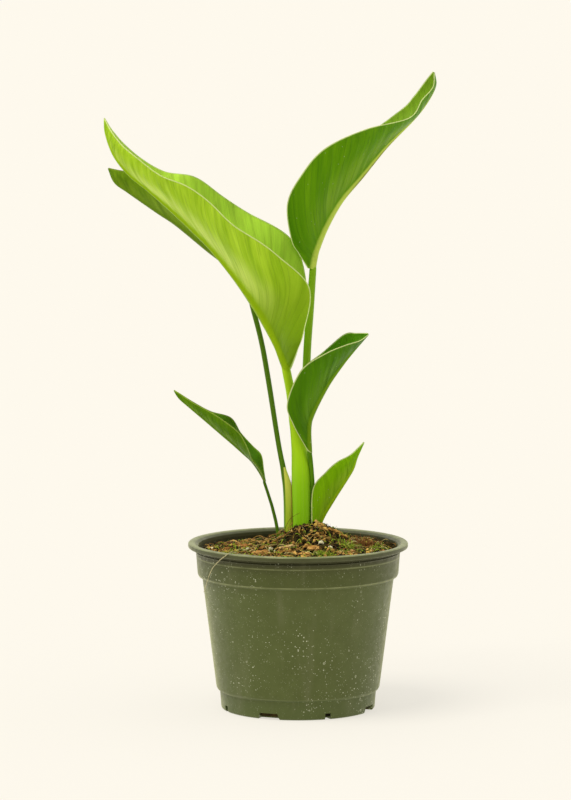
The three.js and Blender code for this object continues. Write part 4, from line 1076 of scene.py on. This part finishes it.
def build_stalks():
    bright = stalk_look("bright_stalk", (0.27, 0.64, 0.002), (0.48, 0.78, 0.006), (0.03, 0.1), 0.35)
    dark = stalk_look("dark_stalk", (0.19, 0.43, 0.004), (0.06, 0.17, 0.002), (0.0, 0.06), 0.3)
    middle = stalk_look("mid_stalk", (0.11, 0.3, 0.003), (0.23, 0.46, 0.006), (0.09, 0.16), 0.3)
    deep = stalk_look("deep_stalk", (0.06, 0.19, 0.002), (0.09, 0.26, 0.002), (0.02, 0.05), 0.2)
    thin = stalk_look("thin_stalk", (0.07, 0.19, 0.003), (0.06, 0.18, 0.002), (0.01, 0.03), 0.2)
    build_stalk("tall_left_stalk", 50, 150, 16, bright, swell=1.0)
    build_stalk("rear_left_stalk", 20, 130, 10, dark)
    build_wings()
    build_stalk("tall_right_stalk", 180, 110, 14, middle)
    build_stalk("mid_right_stalk", 180, 70, 8, deep)
    build_stalk("low_left_stalk", 30, 60, 6, thin)


# ---- loose pieces on the soil


def place(share, turn):
    """A place on the soil: a share of its radius and an angle from the right, in degrees."""
    reach = share * SOIL_RADIUS
    return reach * math.cos(math.radians(turn)), reach * math.sin(math.radians(turn))


# Bark chips: share of the radius, angle, length, width, heading, tilt, and kind of bark.
BARK_CHIPS = [
    (0.5, -72, 9, 4.5, 0, 6, "orange"),
    (0.41, -107, 12, 2.4, -6, 10, "straw"),
    (0.84, 126, 9, 5, 10, 5, "brown"),
    (0.53, -137, 12, 4, 5, 5, "orange"),
    (0.62, 160, 9, 6, -20, 8, "reddish"),
    (0.7, 178, 10, 6, 40, 6, "reddish"),
    (0.66, -85, 9, 3.6, -10, 5, "orange"),
    (0.84, 146, 10, 5, -30, 12, "dark"),
    (0.74, -44, 11, 4, 60, 6, "brown"),
    (0.78, 34, 12, 5, 25, 5, "brown"),
    (0.68, 75, 14, 5, 0, 5, "reddish"),
    (0.66, 104, 10, 6, 50, 4, "brown"),
]
# Perlite grains, as (share of the radius, angle, size), and tufts, as (share, angle, radius).
PERLITE = [
    (0.44, -58, 1.1),
    (0.54, -53, 0.95),
    (0.42, -133, 1.1),
    (0.52, -174, 0.9),
    (0.9, 171, 0.8),
    (0.6, 20, 1),
]
MOSS = [(0.43, 16, 8), (0.57, -28, 8), (0.7, -69, 7), (0.62, 52, 9), (0.8, -150, 6), (0.85, -16, 7)]
FIBRE_TUFT = (0.7, -1, 8)
CHIP_THICKNESS = 2.4
CHIP_LIFT = 0.9
CHIP_GRID = (5, 22, 10)
PERLITE_RADIUS = 1.9
CUSHION_HEIGHT = 3
LOOSE_ROOT_RADIUS = 0.55  # in the CAD model; the fine root is a little thinner


def build_chip(number, chip, look):
    """A flake of bark with a broken outline and layered faces."""
    share, turn, length, width, heading, tilt = chip
    x, y = place(share, turn)
    layers, rows, columns = CHIP_GRID
    u, v = np.meshgrid(np.linspace(-1, 1, rows), np.linspace(-1, 1, columns), indexing="ij")
    seed = number * 3.7
    taper = 1 - 0.22 * np.abs(u) ** 3 + 0.16 * lumps(u * 3, v * 0 + seed, 1, 6)
    ends = 1 + 0.12 * lumps(v * 3, u * 0 + seed, 1, 7)
    outline_x = u * ends * length / 2
    outline_y = v * taper * width / 2
    sheets = []
    for k in range(layers):
        h = 2 * k / (layers - 1) - 1
        shrink = 1 - 0.10 * h * h
        relief = 0.35 * lumps(outline_x + seed, outline_y * 2.5, 1.6, 8) * h
        step = 0.03 * length * lumps(v * 2, u * 0 + seed + 3 * k, 1, 9)
        height = h * CHIP_THICKNESS / 2 + relief + 0.10 * width * v * v
        sheets.append(np.stack([outline_x * shrink + step, outline_y * shrink, height], -1))
    points = np.reshape(sheets, (-1, 3))
    index = np.arange(len(points)).reshape(CHIP_GRID)
    faces = strip_faces(rows, columns, index[-1, 0, 0], flip=True) + strip_faces(rows, columns)
    edge = [index[:, i, 0] for i in range(rows)] + [index[:, -1, j] for j in range(1, columns)]
    edge += [index[:, i, -1] for i in range(rows - 2, -1, -1)]
    edge += [index[:, 0, j] for j in range(columns - 2, 0, -1)]
    for line, following in zip(edge, edge[1:] + edge[:1]):
        for k in range(layers - 1):
            faces.append([line[k], line[k + 1], following[k + 1], following[k]])

    # The chip lies on the slope of the soil around it.
    fall_x = float(soil_level(x - 4, y) - soil_level(x + 4, y))
    fall_y = float(soil_level(x, y - 4) - soil_level(x, y + 4))
    slope = Vector((fall_x, fall_y, 8)).normalized()
    lean = Vector((0, 0, 1)).rotation_difference(slope).to_matrix()
    turned = Matrix.Rotation(math.radians(heading), 3, "Z") @ Matrix.Rotation(math.radians(tilt), 3, "X")
    points = points @ np.array(lean @ turned).T + [x, y, float(soil_level(x, y)) + CHIP_LIFT]
    tint = 0.5 + 0.5 * lumps(points[:, 0], points[:, 1], 2.2, 9)
    name = f"bark_chip_{number:02d}"
    piece(make_object(name + "_fine", points, faces, look, 45, tint=tint), "bark", name)


def build_tuft(node, spot, look, slot, strands, thickness, length, seed):
    """A cushion of fine curled strands."""
    share, turn, radius = spot
    x, y = place(share, turn)
    rng = np.random.default_rng(seed)
    angle, out = rng.random(strands) * 2 * math.pi, np.sqrt(rng.random(strands))
    root_x, root_y = x + out * radius * np.cos(angle), y + out * radius * 0.8 * np.sin(angle)
    dome = CUSHION_HEIGHT * np.sqrt(np.maximum(1 - out**2, 0.02))
    lean = np.stack([np.cos(angle) * out * 0.9, np.sin(angle) * out * 0.9, 1.1 - 0.6 * out], -1)
    lean = unit(lean + 0.55 * rng.normal(size=(strands, 3)))
    size = length * (0.5 + rng.random(strands))
    t = np.linspace(0, 1, 5)
    curl = 0.4 * rng.normal(size=(strands, 1, 3)) * (t**2)[None, :, None]
    base = np.stack([root_x, root_y, soil_level(root_x, root_y) + dome * 0.75 - 1.0], -1)
    paths = (lean[:, None] * t[None, :, None] + curl) * size[:, None, None] + base[:, None]
    radii = thickness * (0.6 + 0.8 * rng.random((strands, 1))) * (1 - 0.75 * t)
    points, faces = tubes(paths, radii, 4)
    tint = np.repeat(rng.random(strands), 4 * len(t))
    piece(make_object(node + "_fine", points, faces, look, tint=tint), slot, node)


def build_litter():
    """Bark, perlite, moss and the fibre tuft on the soil, and the skin of the root crown."""
    barks = {
        "orange": fibre_look("chip_orange", (0.46, 0.22, 0.045), (0.88, 0.52, 0.15)),
        "straw": fibre_look("chip_straw", (0.5, 0.3, 0.09), (0.88, 0.64, 0.28)),
        "brown": fibre_look("chip_brown", (0.3, 0.15, 0.035), (0.66, 0.38, 0.12)),
        "reddish": fibre_look("chip_reddish", (0.28, 0.1, 0.018), (0.62, 0.28, 0.06)),
        "dark": fibre_look("chip_dark", (0.03, 0.014, 0.006), (0.14, 0.06, 0.022)),
    }
    for number, chip in enumerate(BARK_CHIPS, 1):
        build_chip(number, chip[:6], barks[chip[6]])
    white = perlite_look()
    for number, (share, turn, size) in enumerate(PERLITE, 1):
        x, y = place(share, turn)
        radius = PERLITE_RADIUS * size
        where = [(x, y, float(soil_level(x, y)) + radius * 0.4)]
        points, faces, tint = crumbs(where, [radius], 3, 50 + number, 0.3)
        name = f"perlite_grain_{number:02d}"
        piece(make_object(name + "_fine", points, faces, white, tint=tint), "perlite", name)
    moss = moss_look("moss", (0.03, 0.07, 0.002), (0.52, 0.68, 0.03))
    for number, spot in enumerate(MOSS, 1):
        build_tuft(f"moss_cushion_{number:02d}", spot, moss, "moss", 420, 0.24, 2.2, 60 + number)
    husk = fibre_look("husk_tuft", (0.22, 0.085, 0.022), (0.55, 0.25, 0.07))
    build_tuft("fibre_tuft_01", FIBRE_TUFT, husk, "fibre", 300, 0.2, 4.5, 71)
    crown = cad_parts["root_crown"]
    crown.data.materials.clear()
    crown.data.materials.append(fibre_look("crown_skin", (0.2, 0.1, 0.03), (0.5, 0.32, 0.14)))


def build_loose_root():
    """The pale root that lies over the lip and hangs down the pot's left side."""
    off = LOOSE_ROOT_RADIUS + CLEARANCE + 0.2
    collar = BODY_TOP_RADIUS + COLLAR_STEP + BEAD + off
    # Angle from the front to the left, radius, and height over the lip.
    route = [
        (33, SOIL_RADIUS - 6, -SOIL_EDGE_DROP + 3 + off),
        (35, SOIL_RADIUS, -1),
        (36.5, RIM_RADIUS - LIP_TOP_WIDTH + 1, off),
        (38, RIM_RADIUS - 1, off),
        (40, RIM_RADIUS + off, -1.4),
        (44, RIM_RADIUS + off - 0.6, -5.2),
        (51, collar + 3.4, -11.5),
        (56, collar + 1.8, -18),
        (60, collar + 0.8, -24.6),
        (67, collar - 1, -33.5),
    ]
    turns = [math.radians(angle) for angle, _, _ in route]
    points = [(-math.sin(a) * r, -math.cos(a) * r, POT_HEIGHT + z) for a, (_, r, z) in zip(turns, route)]
    pale = fibre_look("pale_root", (0.4, 0.34, 0.15), (0.74, 0.68, 0.4))
    strand(
        "loose_root_fine", points, pale, "root", ["loose_root"], 120, 8, 0.42, 0.45,
        wave=0.12, waves=60, knots=0.15,
    )


# ---- stage, light and camera

FLOOR_TONE = (0.985, 0.946, 0.86)  # what the lit floor shows
GLOW = 0.68  # share of that tone which no shadow takes away
FLOOR_LIGHT = 1.33  # light that falls on open floor
FLOOR_HALF = 200  # in metres
FLOOR_DROP = 0.0002  # in metres, under the pot's foot


def build_stage():
    look = Look("pale_floor")
    speckle = look.times(look.noise(900, 2), 0.004)
    lit = dimmed(FLOOR_TONE, (1 - GLOW) / FLOOR_LIGHT)
    inputs = {
        "Base Color": look.mix(speckle, lit, dimmed(lit, 0.97)),
        "Roughness": 1.0,
        "Specular IOR Level": 0.0,
        "Emission Color": FLOOR_TONE,
        "Emission Strength": GLOW,
    }
    look.add("OutputMaterial", {"Surface": look.add("BsdfPrincipled", inputs).outputs[0]})
    corners = [(x * FLOOR_HALF, y * FLOOR_HALF, 0) for x, y in ((-1, -1), (1, -1), (1, 1), (-1, 1))]
    mesh = bpy.data.meshes.new("floor")
    mesh.from_pydata(corners, [], [(0, 1, 2, 3)])
    mesh.materials.append(look.owner)
    floor = bpy.data.objects.new("floor", mesh)
    bpy.context.scene.collection.objects.link(floor)
    floor.location.z = -FLOOR_DROP


def build_light():
    """A sky that is brighter behind the plant than in front of it, and one soft sun."""
    look = Look("studio", bpy.data.worlds, "Generated")
    strength = look.step(look.part(1), -1.0, 0.0, 0.56, 0.9)
    sky = look.add("Background", {"Color": (1.0, 0.985, 0.95), "Strength": strength})
    look.add("OutputWorld", {"Surface": sky.outputs[0]})
    bpy.context.scene.world = look.owner
    data = bpy.data.lights.new("key", "SUN")
    data.energy = 1.9
    data.angle = math.radians(32)
    data.color = (1.0, 0.965, 0.89)
    sun = bpy.data.objects.new("key", data)
    towards = Vector((-0.42, -0.3, 1.0))
    sun.rotation_euler = (-towards).to_track_quat("-Z", "Y").to_euler()
    bpy.context.scene.collection.objects.link(sun)


SENSOR = 36
LENS = 182.061
CAMERA_PLACE = (-0.0094, -3.0, 0.555)
CAMERA_DIP = 6.15


def build_camera():
    data = bpy.data.cameras.new("camera")
    data.lens = LENS
    data.sensor_width = SENSOR
    data.clip_end = 1000
    camera = bpy.data.objects.new("camera", data)
    camera.location = CAMERA_PLACE
    camera.rotation_euler = (math.radians(90 - CAMERA_DIP), 0, 0)
    bpy.context.scene.collection.objects.link(camera)
    bpy.context.scene.camera = camera


build_pot()
build_soil()
build_leaves()
build_stalks()
build_litter()
build_loose_root()
build_stage()
build_light()
build_camera()
bpy.context.scene.view_settings.view_transform = "Standard"
bpy.context.view_layer.update()
